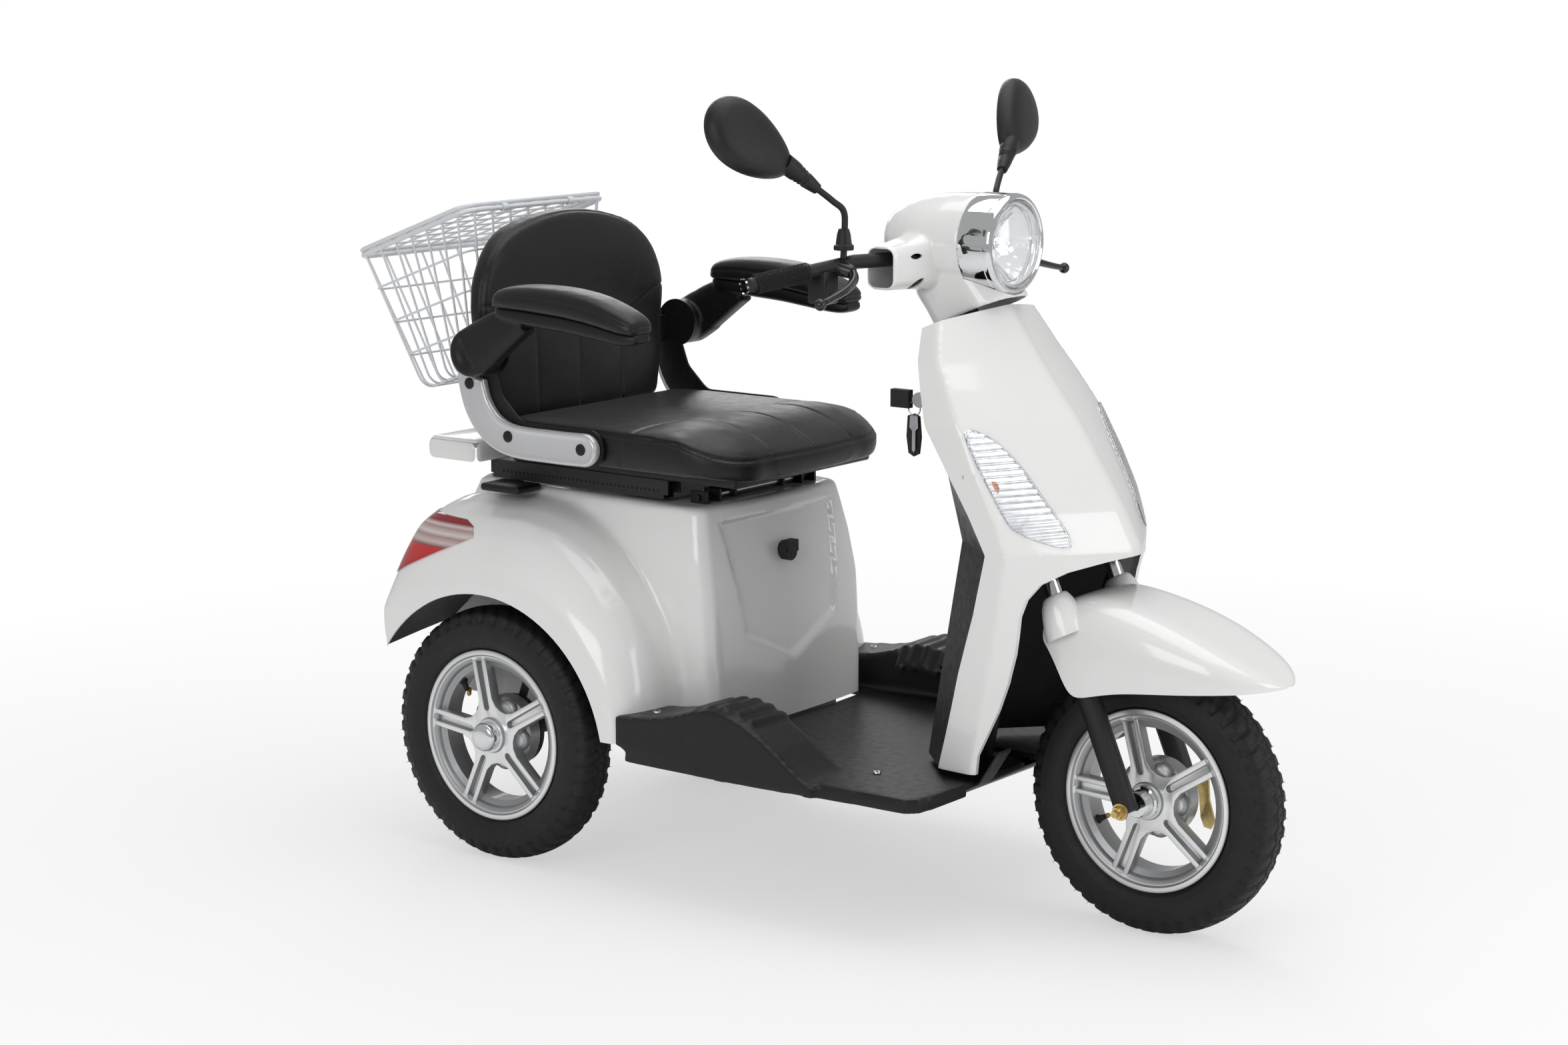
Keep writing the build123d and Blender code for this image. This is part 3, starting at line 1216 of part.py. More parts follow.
def basket_point(down, forward, across):
    """Point on the basket: 0 to 1 down from the rim, forward from the rear, -1 to 1 across."""
    x0 = RIM_REAR[0] + (RIM_FRONT[0] - RIM_REAR[0]) * forward
    z0 = RIM_REAR[1] + (RIM_FRONT[1] - RIM_REAR[1]) * forward
    x1 = FLOOR_REAR[0] + (FLOOR_FRONT[0] - FLOOR_REAR[0]) * forward
    z1 = FLOOR_REAR[1] + (FLOOR_FRONT[1] - FLOOR_REAR[1]) * forward
    half_w = RIM_HALF_WIDTH + (FLOOR_HALF_WIDTH - RIM_HALF_WIDTH) * down
    return Vector(x0 + (x1 - x0) * down, across * half_w, z0 + (z1 - z0) * down)


def wire(start, end, size):
    """Square wire between two points, a little longer than their distance."""
    along = (end - start).normalized()
    start, end = start - along * size / 2, end + along * size / 2
    side = Vector(0, 1, 0) if abs(along.Y) < 0.5 else Vector(0, 0, 1)
    plane = Plane(origin=start, x_dir=side, z_dir=along)
    return extrude(plane * Rectangle(size, size), (end - start).length)


def make_basket():
    """Wire basket: a thick rim, hoops and wires that run down, under and up again."""
    wires = []
    for n in range(1, HOOPS + 1):
        down = n / HOOPS
        corners = [basket_point(down, f, a) for f, a in ((0, -1), (1, -1), (1, 1), (0, 1))]
        for k in range(4):
            wires.append(wire(corners[k], corners[(k + 1) % 4], WIRE))
    for n in range(SIDE_WIRES):
        forward = (n + 0.5) / SIDE_WIRES
        points = [basket_point(d, forward, a) for d, a in ((0, -1), (1, -1), (1, 1), (0, 1))]
        for k in range(3):
            wires.append(wire(points[k], points[k + 1], WIRE))
    for n in range(CROSS_WIRES):
        across = -1 + 2 * (n + 0.5) / CROSS_WIRES
        points = [basket_point(d, f, across) for d, f in ((0, 0), (1, 0), (1, 1), (0, 1))]
        for k in range(3):
            wires.append(wire(points[k], points[k + 1], WIRE))
    return wires[0].fuse(*wires[1:]) + rim_ring(0, RIM_WIRE)


def rim_ring(rise, size):
    """Round ring in the rim's plane, raised square to it, with rounded corners."""
    run, climb = RIM_FRONT[0] - RIM_REAR[0], RIM_FRONT[1] - RIM_REAR[1]
    depth = math.hypot(run, climb)
    normal = Vector(-climb, 0, run) / depth
    plane = Plane(origin=basket_point(0, 0.5, 0) + normal * rise, x_dir=(run, 0, climb), z_dir=normal)
    loop = (plane * RectangleRounded(depth, 2 * RIM_HALF_WIDTH, RIM_CORNER_R)).wire()
    return sweep(Plane(origin=loop @ 0, z_dir=loop % 0) * Circle(size / 2), loop)


def make_basket_lid():
    """Wire lid on the basket's rim, hinged along its front."""
    rise = RIM_WIRE / 2 + LID_RIM / 2 + GAP
    run, climb = RIM_FRONT[0] - RIM_REAR[0], RIM_FRONT[1] - RIM_REAR[1]
    lift = Vector(-climb, 0, run) / math.hypot(run, climb) * rise
    wires = []
    for n in range(1, SIDE_WIRES):
        a = basket_point(0, n / SIDE_WIRES, -1) + lift
        b = basket_point(0, n / SIDE_WIRES, 1) + lift
        wires.append(wire(a, b, WIRE))
    for n in range(1, CROSS_WIRES):
        across = -1 + 2 * n / CROSS_WIRES
        wires.append(wire(basket_point(0, 0, across) + lift, basket_point(0, 1, across) + lift, WIRE))
    lid = wires[0].fuse(*wires[1:]) + rim_ring(rise, LID_RIM)
    front_x, front_z = RIM_FRONT
    for y in (-LID_LOOP_Y, LID_LOOP_Y):
        loop = bar_y(front_x, front_z, RIM_WIRE / 2 + GAP + LID_LOOP_WALL, y - 6, y + 6)
        lid = lid + loop
    return lid - bar_y(front_x, front_z, RIM_WIRE / 2 + GAP, -RIM_HALF_WIDTH, RIM_HALF_WIDTH)


def make_basket_bracket():
    """Black slotted plate behind the backrest that the basket hangs on."""
    plate = block(-166, -160, -80, 80, 850, 960)
    for y in (-50, 50):
        plate = plate - block(-170, -150, y - 18, y + 18, 880, 888)
    for y in (-60, 60):
        arm = block(-163, -140.5, y - 12, y + 12, 900, 924)
        plate = plate + arm + block(-175, -163, y - 12, y + 12, 930, 950)
    return plate - make_backrest_space()


def make_backrest_space():
    """Backrest grown by the seam, for what bears on it."""
    return offset(make_backrest(), GAP)


# The whole scooter
def make_nodes():
    """Every piece of the scooter by its name."""
    nodes = make_wheels()
    nodes.update(make_frame_halves())
    nodes["rear_axle"] = make_rear_axle()
    nodes["rear_brakes"] = make_rear_brakes()
    nodes["rear_shocks"] = make_shocks()
    nodes["battery"] = make_battery()
    nodes["rear_body"] = make_rear_body()
    nodes["wheel_liners"] = make_wheel_liners()
    nodes["tail_lamps"] = make_tail_lamps()
    nodes["carrier"] = make_carrier()
    nodes["carrier_bracket"] = make_carrier_bracket()
    nodes["footboard"] = make_footboard()
    nodes["leg_shield"] = make_leg_shield()
    nodes["inner_shield"] = make_inner_shield()
    nodes["turn_signals"] = make_signals()
    nodes["charging_socket"] = make_socket()
    nodes["ignition_lock"] = make_key_lock()
    nodes["seat_hinges"] = make_seat_hinges()
    nodes["seat_buffers"] = make_seat_buffers()
    nodes["lower_skirt"] = make_belly()
    nodes["fork"] = make_fork()
    nodes["front_fender"] = make_front_fender()
    nodes["handlebar_cowl"] = make_cowl()
    nodes["headlight"] = make_headlight()
    nodes["handlebar"] = make_handlebar()
    nodes["grips"] = make_grips()
    nodes["brake_levers"] = make_levers()
    nodes["mirrors"] = make_mirrors()
    nodes["seat_frame"] = make_seat_frame()
    nodes["seat_cushion"] = make_cushion()
    nodes["backrest"] = make_backrest()
    nodes["arm_carriers"] = make_arm_carriers()
    nodes["arm_covers"] = make_arm_covers()
    arm, pad = make_armrests(), make_armrest_pad()
    nodes["armrest_right"], nodes["armrest_left"] = both(arm)
    nodes["armrest_pad_right"], nodes["armrest_pad_left"] = both(pad)
    nodes["basket_bracket"] = make_basket_bracket()
    nodes["basket"] = make_basket()
    nodes["basket_lid"] = make_basket_lid()
    return nodes


def write_nodes():
    """Move every piece into the scooter's own frame and write it."""
    os.makedirs("parts", exist_ok=True)
    for name, shape in make_nodes().items():
        shapes = shape if isinstance(shape, list) else [shape]
        place = Pos(-ORIGIN_X, 0, TYRE_R - AXLE_Z)
        solids = [place * solid for piece in shapes for solid in piece.solids()]
        whole = solids[0] if len(solids) == 1 else Compound(children=solids)
        export_step(whole, f"parts/{name}.step")


write_nodes()
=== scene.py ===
# Three-wheel mobility scooter: white moulded panels over a black tube frame, cast five-spoke
# wheels with treaded tyres, a black leather seat with fold-up armrests, and a white wire basket.
# X points forward, Y to the rider's left and Z up, in metres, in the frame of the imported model.

import math

import bmesh
import bpy
from mathutils import Matrix, Vector


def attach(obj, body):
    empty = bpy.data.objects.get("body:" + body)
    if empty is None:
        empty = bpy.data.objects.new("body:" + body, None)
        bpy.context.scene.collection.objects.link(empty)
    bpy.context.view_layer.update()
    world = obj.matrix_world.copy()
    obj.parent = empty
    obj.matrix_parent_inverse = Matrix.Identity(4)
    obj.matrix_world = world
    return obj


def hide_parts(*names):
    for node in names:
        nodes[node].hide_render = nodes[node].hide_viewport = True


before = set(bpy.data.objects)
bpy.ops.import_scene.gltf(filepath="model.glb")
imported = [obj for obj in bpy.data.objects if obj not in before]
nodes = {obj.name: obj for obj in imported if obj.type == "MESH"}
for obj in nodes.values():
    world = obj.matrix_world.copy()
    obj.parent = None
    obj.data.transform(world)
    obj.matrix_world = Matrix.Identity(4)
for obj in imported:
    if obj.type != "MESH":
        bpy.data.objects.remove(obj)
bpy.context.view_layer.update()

# Camera, at the photograph's place: right front of the scooter, a little above the handlebar.


def into_scene(name, data):
    """Object that shows some data in the scene."""
    thing = bpy.data.objects.new(name, data)
    bpy.context.scene.collection.objects.link(thing)
    return thing


def look(direction):
    """Turn that points an object's -Z along a direction."""
    return Vector(direction).to_track_quat("-Z", "Y").to_euler()


camera_data = bpy.data.cameras.new("camera")
camera_data.sensor_width = 36.0
camera_data.lens = 72.55
camera = into_scene("camera", camera_data)
camera.location = (2.99109, -4.06028, 1.49030)
camera.rotation_euler = look((-0.59236, 0.78520, -0.18048))
bpy.context.scene.camera = camera
bpy.context.scene.view_settings.view_transform = "Standard"

# Studio: a pale floor that keeps the soft shadow, a white surround, and four large soft lamps.


def add_node(tree, kind, *feeds, operation=None, mode=None, **inputs):
    """Adds a node and gives its sockets, in order or by name, a value or another node's output."""
    node = tree.nodes.new(kind)
    if operation:
        node.operation = operation
    if mode:
        node.mode = mode
    named = [(node.inputs[socket.replace("_", " ")], value) for socket, value in inputs.items()]
    for socket, value in list(zip(node.inputs, feeds)) + named:
        if isinstance(value, bpy.types.NodeSocket):
            tree.links.new(value, socket)
        else:
            socket.default_value = value
    return node


def seen_directly(tree):
    """1 for what the camera sees by itself or through clear plastic, and 0 for what lights the rest."""
    path = add_node(tree, "ShaderNodeLightPath")
    return add_node(tree, "ShaderNodeMath", path.outputs["Is Camera Ray"],
                    path.outputs["Is Transmission Ray"], operation="MAXIMUM").outputs[0]


floor_mesh = bpy.data.meshes.new("studio_floor")
floor_build = bmesh.new()
bmesh.ops.create_circle(floor_build, cap_ends=True, segments=96, radius=30.0)
floor_build.to_mesh(floor_mesh)
floor_build.free()
floor_paint = bpy.data.materials.new("studio_floor")
floor_paint.use_nodes = True
tree = floor_paint.node_tree
tree.nodes.clear()
matt = add_node(tree, "ShaderNodeBsdfDiffuse", Color=(0.95, 0.95, 0.95, 1))
glow = add_node(tree, "ShaderNodeEmission", Strength=1.0)
place = add_node(tree, "ShaderNodeTexCoord")
reach = add_node(tree, "ShaderNodeVectorMath", place.outputs["Object"], operation="LENGTH")
fade = add_node(tree, "ShaderNodeMapRange", Value=reach.outputs["Value"],
                From_Min=0.9, From_Max=2.6, To_Min=0.55, To_Max=1.0)
share = add_node(tree, "ShaderNodeMath", seen_directly(tree), fade.outputs["Result"], operation="MULTIPLY")
blend = add_node(tree, "ShaderNodeMixShader", share.outputs[0], matt.outputs[0], glow.outputs[0])
add_node(tree, "ShaderNodeOutputMaterial", blend.outputs[0])
floor_mesh.materials.append(floor_paint)
into_scene("studio_floor", floor_mesh)

world = bpy.data.worlds.new("studio")
bpy.context.scene.world = world
world.use_nodes = True
tree = world.node_tree
tree.nodes.clear()
level = add_node(tree, "ShaderNodeMapRange", Value=seen_directly(tree), To_Min=0.42, To_Max=1.0)
surround = add_node(tree, "ShaderNodeBackground", Color=(1.0, 1.0, 1.0, 1),
                    Strength=level.outputs["Result"])
add_node(tree, "ShaderNodeOutputWorld", surround.outputs[0])

LAMPS = [
    # name, place, aimed at, width, height, watts
    ("overhead", (0.2, 0.3, 3.4), (0.1, 0.0, 0.4), 3.6, 2.6, 46),
    ("right_side", (0.6, -3.6, 2.0), (0.1, 0.0, 0.6), 2.2, 1.6, 30),
    ("front", (3.6, 0.6, 1.6), (0.3, 0.0, 0.6), 1.8, 1.8, 26),
    ("left_rear", (-2.6, 2.4, 2.2), (0.0, 0.0, 0.6), 1.8, 1.6, 24),
]
for name, place, aim, width, height, watts in LAMPS:
    lamp = bpy.data.lights.new(name, "AREA")
    lamp.shape = "RECTANGLE"
    lamp.size, lamp.size_y = width, height
    lamp.energy = watts
    holder = into_scene(name, lamp)
    holder.location = place
    holder.rotation_euler = look(Vector(aim) - Vector(place))

# Tyres: black rubber pneumatic tyres, moulded with smooth ringed sidewalls, cut shoulder blocks
# and waved grooves round the crown. Each is fitted on its rim and turns with the wheel.
WHEELBASE, AXLE_Z, HALF_TRACK = 1066, 211, 296
ORIGIN_X = 0.4265
WHEELS = [
    # name, middle in x and y, body, side that faces out
    ("front", (WHEELBASE, 0), "front_wheel", -1),
    ("rear_right", (0, -HALF_TRACK), "rear_wheel_right", -1),
    ("rear_left", (0, HALF_TRACK), "rear_wheel_left", 1),
]


def at(x, y, z):
    """A point given in millimetres from the rear axle, the middle and the ground."""
    return Vector((x / 1000 - ORIGIN_X, y / 1000, z / 1000))


def in_mm(co):
    """The same measures of a point of the scene."""
    return (co.x + ORIGIN_X) * 1000, co.y * 1000, co.z * 1000


def round_angles(count):
    """Angles of equal steps once round a circle."""
    return [2 * math.pi * i / count for i in range(count)]


def add_piece(name, build, *finishes):
    """Turns a bmesh into an object of the scene with its finishes."""
    mesh = bpy.data.meshes.new(name)
    build.to_mesh(mesh)
    build.free()
    mesh.polygons.foreach_set("use_smooth", [True] * len(mesh.polygons))
    for finish in finishes:
        mesh.materials.append(finish)
    return into_scene(name, mesh)


def hand_over(piece, body, node=None):
    """Rides a piece on its body, and in place of a CAD node where one is named."""
    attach(piece, body)
    if node:
        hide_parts(node)
    return piece


def crease_shade(piece, angle=38):
    """Smooth shading that keeps edges sharper than an angle crisp."""
    build = bmesh.new()
    build.from_mesh(piece.data)
    limit = math.radians(angle)
    for edge in build.edges:
        edge.smooth = len(edge.link_faces) == 2 and edge.calc_face_angle(0) < limit
    build.to_mesh(piece.data)
    build.free()
    return piece


def finish_piece(build, name, finish, body, node=None, angle=36):
    """Closes off a mesh as a piece that rides on a body."""
    bmesh.ops.recalc_face_normals(build, faces=build.faces)
    return hand_over(crease_shade(add_piece(name, build, finish), angle), body, node)


def skin_rings(build, rings, closed_round=True, closed_along=False, caps=False):
    """Adds the faces between neighbouring rings of points."""
    rows = [[build.verts.new(point) for point in ring] for ring in rings]
    count = len(rows[0])
    pairs = list(zip(rows, rows[1:])) + ([(rows[-1], rows[0])] if closed_along else [])
    for low, high in pairs:
        for i in range(count if closed_round else count - 1):
            j = (i + 1) % count
            build.faces.new((low[i], low[j], high[j], high[i]))
    if caps:
        build.faces.new(rows[0][::-1])
        build.faces.new(rows[-1])
    return rows


def soft_step(edge0, edge1, value):
    """0 below edge0, 1 above edge1 and a smooth rise between them."""
    t = min(1.0, max(0.0, (value - edge0) / (edge1 - edge0)))
    return t * t * (3 - 2 * t)


def new_material(name):
    """Empty material, its node tree and the place that patterns read."""
    material = bpy.data.materials.new(name)
    material.use_nodes = True
    tree = material.node_tree
    place = add_node(tree, "ShaderNodeTexCoord").outputs["Object"]
    return material, tree, place


def set_shader(tree, **inputs):
    """Gives a material's shader values or links for its named inputs."""
    shader = tree.nodes["Principled BSDF"]
    for socket, value in inputs.items():
        socket = shader.inputs[socket.replace("_", " ")]
        if isinstance(value, bpy.types.NodeSocket):
            tree.links.new(value, socket)
        else:
            socket.default_value = value


def raise_surface(tree, height, strength, distance):
    """Bumps a material's surface by a pattern's height."""
    bump = add_node(tree, "ShaderNodeBump", Strength=strength, Distance=distance, Height=height)
    set_shader(tree, Normal=bump.outputs["Normal"])


def blend_colours(tree, share, first, second):
    """Colour between two others by a share."""
    mix = add_node(tree, "ShaderNodeMix")
    mix.data_type = "RGBA"
    for socket, value in zip((mix.inputs[0], mix.inputs[6], mix.inputs[7]), (share, first, second)):
        if isinstance(value, bpy.types.NodeSocket):
            tree.links.new(value, socket)
        else:
            socket.default_value = value
    return mix.outputs[2]


def new_finish(name, colour, rough, metal=0.0, coat=0.0, mottle=0.06, patch=14.0, scatter=0.05,
               pebble=0.0, pebble_size=900.0, sheen=0.0, edge_highlight=0.0):
    """Material with uneven colour and gloss, a grained surface and convex edges painted paler as a highlight.
    """
    material, tree, place = new_material(name)
    set_shader(tree, Metallic=metal, Coat_Weight=coat, Coat_Roughness=0.06, Sheen_Weight=sheen,
               Specular_IOR_Level=0.36 if colour[0] < 0.05 else 0.5)
    cloud = add_node(tree, "ShaderNodeTexNoise", Vector=place, Scale=patch, Detail=5.0, Roughness=0.6)
    ramp = add_node(tree, "ShaderNodeValToRGB", cloud.outputs["Fac"])
    dark, pale = ramp.color_ramp.elements
    dark.position, pale.position = 0.3, 0.7
    dark.color = tuple(c * (1 - mottle) for c in colour) + (1,)
    pale.color = tuple(min(1, c * (1 + mottle)) for c in colour) + (1,)
    tint = ramp.outputs["Color"]
    # Painted highlight: convex edges, found by pointiness, are painted paler than the rest of the surface.
    if edge_highlight:
        edge = add_node(tree, "ShaderNodeMapRange", To_Max=edge_highlight, From_Min=0.52, From_Max=0.62,
                        Value=add_node(tree, "ShaderNodeNewGeometry").outputs["Pointiness"])
        highlight_tint = tuple(min(1, c * 1.6 + 0.03) for c in colour) + (1,)
        tint = blend_colours(tree, edge.outputs["Result"], tint, highlight_tint)
    fine = add_node(tree, "ShaderNodeTexNoise", Vector=place, Scale=patch * 6, Detail=4.0)
    gloss = add_node(tree, "ShaderNodeMapRange", Value=fine.outputs["Fac"], From_Min=0.3, From_Max=0.7,
                     To_Min=max(0.02, rough - scatter), To_Max=rough + scatter)
    set_shader(tree, Base_Color=tint, Roughness=gloss.outputs["Result"])
    if pebble:
        cells = add_node(tree, "ShaderNodeTexVoronoi", Vector=place, Scale=pebble_size)
        raise_surface(tree, cells.outputs["Distance"], pebble, 0.0006)
    return material


TYRE_SECTION = [
    # millimetres from the wheel's middle plane, and from its axle
    (22.0, 127.4), (29.2, 127.6), (29.5, 135.0), (29.6, 143.2), (33.2, 145.6), (36.6, 149.6), (37.3, 151.2),
    (37.3, 152.6), (38.8, 155.4), (40.2, 160.0), (40.9, 166.0), (41.0, 172.0), (40.7, 178.0), (40.2, 181.0),
    (40.3, 182.4), (39.5, 184.4), (38.6, 188.0), (37.6, 191.5), (36.4, 195.0), (35.0, 198.4), (33.0, 201.4),
    (30.4, 203.8), (27.2, 205.8), (24.0, 207.2), (20.6, 208.4), (17.2, 209.3), (14.0, 209.9), (11.0, 210.3),
    (8.4, 210.6), (6.0, 210.8), (3.6, 210.9), (1.6, 211.0),
]
SHOULDER_BLOCKS = 46
STEPS_PER_BLOCK = 11


def tread_depth(across, radius, step):
    """How far a groove cuts below the tyre's outer surface, in millimetres."""
    wide = abs(across)
    phase = (step / STEPS_PER_BLOCK + (0.5 if across > 0 else 0.0)) % 1.0
    lean = 0.22 * max(0.0, (34.0 - wide) / 20.0) ** 2
    shoulder = soft_step(186.0, 192.0, radius) * soft_step(12.5, 15.5, wide)
    slot = 1.0 - soft_step(0.15, 0.24, abs((phase + lean) % 1.0 - 0.5))
    turn = 2 * math.pi * step / (STEPS_PER_BLOCK * SHOULDER_BLOCKS)
    wave = 8.2 + 2.4 * math.sin(turn * SHOULDER_BLOCKS)
    ring = 1.0 - soft_step(1.0, 2.6, abs(wide - wave))
    notch = (1.0 - soft_step(0.08, 0.16, abs((phase * 2) % 1.0 - 0.5))) * (1.0 - soft_step(3.0, 4.6, wide))
    return 3.6 * shoulder * slot + 3.0 * ring + 2.0 * notch


rubber = new_finish("tyre_rubber", (0.010, 0.010, 0.011), 0.52, mottle=0.22, patch=30, scatter=0.09,
                    pebble=0.25, pebble_size=1400)
for name, centre, body, _ in WHEELS:
    build = bmesh.new()
    section = TYRE_SECTION + [(-across, radius) for across, radius in reversed(TYRE_SECTION)]
    rings = []
    for step, turn in enumerate(round_angles(SHOULDER_BLOCKS * STEPS_PER_BLOCK)):
        ring = []
        for across, radius in section:
            depth = tread_depth(across, radius, step)
            radius = radius - depth * 0.9
            across = across - math.copysign(depth * 0.45, across) * soft_step(28.0, 36.0, abs(across))
            ring.append(at(centre[0] + radius * math.sin(turn), centre[1] + across,
                           AXLE_Z + radius * math.cos(turn)))
        rings.append(ring)
    skin_rings(build, rings, closed_along=True)
    bmesh.ops.recalc_face_normals(build, faces=build.faces)
    tyre = add_piece("treaded_%s_tyre" % name, build, rubber)
    hand_over(tyre, body, name + "_tyre")

# Moulding hairs of the tyres: short rubber whiskers left on both shoulders of each tread.


def group_tree(name, lines, **sockets):
    """Node group from geometry to geometry: its tree, and its named inputs by kind."""
    tree = bpy.data.node_groups.new(name, "GeometryNodeTree")
    tree.interface.new_socket(lines, in_out="INPUT", socket_type="NodeSocketGeometry")
    for kind, labels in sockets.items():
        for label in labels:
            tree.interface.new_socket(label, in_out="INPUT", socket_type="NodeSocket" + kind)
    tree.interface.new_socket("Finish", in_out="INPUT", socket_type="NodeSocketMaterial")
    tree.interface.new_socket("Result", in_out="OUTPUT", socket_type="NodeSocketGeometry")
    return tree, add_node(tree, "NodeGroupInput").outputs


def end_tree(tree, give, made):
    """Realizes what a node group made and gives it the finish."""
    solid = add_node(tree, "GeometryNodeRealizeInstances", made)
    coat = add_node(tree, "GeometryNodeSetMaterial", Geometry=solid.outputs[0], Material=give["Finish"])
    add_node(tree, "NodeGroupOutput", coat.outputs[0])
    return tree


def stud_nodes():
    """Geometry Nodes that stand one tapered stud on every point, along the attribute aim."""
    tree, give = group_tree("studs", "Points", Int=("Sides", "Seed"),
                            Float=("Root Radius", "Tip Radius", "Height", "Shortest"))
    points = add_node(tree, "GeometryNodeMeshToPoints", give["Points"])
    stud = add_node(tree, "GeometryNodeMeshCone", Vertices=give["Sides"], Depth=give["Height"],
                    Radius_Top=give["Tip Radius"], Radius_Bottom=give["Root Radius"])
    aim = add_node(tree, "GeometryNodeInputNamedAttribute", Name="aim")
    aim.data_type = "FLOAT_VECTOR"
    turn = add_node(tree, "FunctionNodeAlignRotationToVector", Vector=aim.outputs[0])
    turn.axis = "Z"
    chance = add_node(tree, "FunctionNodeRandomValue", Seed=give["Seed"])
    chance.data_type = "FLOAT"
    lowest = [s for s in chance.inputs if s.name == "Min" and s.type == "VALUE"][0]
    tree.links.new(give["Shortest"], lowest)
    height = [s for s in chance.outputs if s.type == "VALUE"][0]
    stretch = add_node(tree, "ShaderNodeCombineXYZ", 1.0, 1.0, height)
    stand = add_node(tree, "GeometryNodeInstanceOnPoints", Points=points.outputs[0],
                     Instance=stud.outputs["Mesh"], Rotation=turn.outputs[0], Scale=stretch.outputs[0])
    return end_tree(tree, give, stand.outputs[0])


def run_nodes(piece, tree, values):
    """Gives a piece a node tree's result as its plain mesh."""
    step = piece.modifiers.new("nodes", "NODES")
    step.node_group = tree
    for socket in tree.interface.items_tree:
        if socket.in_out == "INPUT" and socket.name in values:
            step[socket.identifier] = values[socket.name]
    made = bpy.data.meshes.new_from_object(piece.evaluated_get(bpy.context.evaluated_depsgraph_get()))
    piece.modifiers.clear()
    piece.data = made
    if not made.materials:
        made.materials.append(values["Finish"])
    return piece


STUDS = stud_nodes()


def wire_frame(name, points, edges):
    """Object of bare points and edges."""
    mesh = bpy.data.meshes.new(name)
    mesh.from_pydata(points, edges, [])
    return into_scene(name, mesh)


def set_studs(name, spots, finish, body, root, tip, height, sides=8, shortest=1.0):
    """Piece with a stud at each pair of a point and a direction, sized in millimetres."""
    piece = wire_frame(name, [point for point, _ in spots], [])
    aims = piece.data.attributes.new("aim", "FLOAT_VECTOR", "POINT")
    aims.data.foreach_set("vector", [c for _, aim in spots for c in aim])
    run_nodes(piece, STUDS, {
        "Root Radius": root / 1000, "Tip Radius": tip / 1000, "Height": height / 1000,
        "Shortest": shortest, "Sides": sides, "Seed": 7, "Finish": finish})
    piece.data.polygons.foreach_set("use_smooth", [False] * len(piece.data.polygons))
    return hand_over(piece, body)


HAIR_ROWS = ((37.6, 190.5, 0.9), (-37.6, 190.5, -0.9), (31.0, 203.0, 0.7), (-31.0, 203.0, -0.7))
for name, centre, body, _ in WHEELS:
    spots = []
    for number in range(SHOULDER_BLOCKS * 2):
        turn = 2 * math.pi * (number + 0.5) / (SHOULDER_BLOCKS * 2)
        for across, radius, lean in HAIR_ROWS:
            on_the_ground = radius > 200 and math.cos(turn) < -0.97
            if number % 2 == (abs(across) > 34) or on_the_ground:
                continue
            out = Vector((math.sin(turn), lean, math.cos(turn))).normalized()
            spots.append((at(centre[0] + radius * math.sin(turn), centre[1] + across,
                             AXLE_Z + radius * math.cos(turn)), out))
    set_studs(name + "_tyre_hairs", spots, rubber, body, 0.55, 0.18, 4.6, sides=5, shortest=0.45)

# Frame and running gear: welded steel tubes, axle, motor, brakes, shocks and battery, powder
# coated or cast black and mostly hidden under the body.


def dress(node, finish):
    """Gives a CAD node its finish."""
    obj = nodes[node]
    if not obj.data.materials:
        obj.data.materials.append(finish)
    for slot in obj.material_slots:
        slot.material = finish


powder_coat = new_finish("powder_coat", (0.010, 0.010, 0.011), 0.40, mottle=0.2, patch=40, scatter=0.08,
                         pebble=0.35, pebble_size=1300, edge_highlight=0.25)
black_case = new_finish("battery_case", (0.03, 0.03, 0.032), 0.5, mottle=0.15, patch=22, pebble=0.3)
for node in ("frame", "rear_frame", "rear_axle", "rear_brakes", "rear_shocks"):
    dress(node, powder_coat)
dress("battery", black_case)

# Rear body: one thick moulding of glossy white plastic, with a tub between the wheels, a crowned
# fender over each of them, rounded corners and a shallow pointed panel in its front.
# Its form is skinned from rings, melted together, smoothed, and then cut open as the mould is.


def arc_points(start, middle, end, count):
    """Points along the circle arc through three points of a plane."""
    (ax, ay), (bx, by), (cx, cy) = start, middle, end
    d = 2 * (ax * (by - cy) + bx * (cy - ay) + cx * (ay - by))
    ox = ((ax**2 + ay**2) * (by - cy) + (bx**2 + by**2) * (cy - ay) + (cx**2 + cy**2) * (ay - by)) / d
    oy = ((ax**2 + ay**2) * (cx - bx) + (bx**2 + by**2) * (ax - cx) + (cx**2 + cy**2) * (bx - ax)) / d
    radius = math.hypot(ax - ox, ay - oy)
    first, half, last = (math.atan2(y - oy, x - ox) for x, y in (start, middle, end))
    sweep = (last - first) % (2 * math.pi)
    if (half - first) % (2 * math.pi) > sweep:
        sweep -= 2 * math.pi
    return [
        (ox + radius * math.cos(first + sweep * i / count), oy + radius * math.sin(first + sweep * i / count))
        for i in range(count + 1)
    ]


def solid_from(name, *builders):
    """Closed object from functions that each add one closed form."""
    build = bmesh.new()
    for builder in builders:
        builder(build)
    bmesh.ops.recalc_face_normals(build, faces=build.faces)
    return add_piece(name, build)


def settle(piece):
    """Makes the piece's mesh what its modifiers show, and takes them off."""
    graph = bpy.context.evaluated_depsgraph_get()
    mesh = bpy.data.meshes.new_from_object(piece.evaluated_get(graph))
    finishes = list(piece.data.materials)
    piece.modifiers.clear()
    piece.data = mesh
    mesh.polygons.foreach_set("use_smooth", [True] * len(mesh.polygons))
    return repaint(piece, *finishes)


def repaint(piece, *finishes):
    """Gives a piece the named finishes alone."""
    piece.data.materials.clear()
    for finish in finishes:
        piece.data.materials.append(finish)
    return piece


def twin_of(piece):
    """A second object with its own copy of a piece's mesh."""
    return into_scene(piece.name, piece.data.copy())


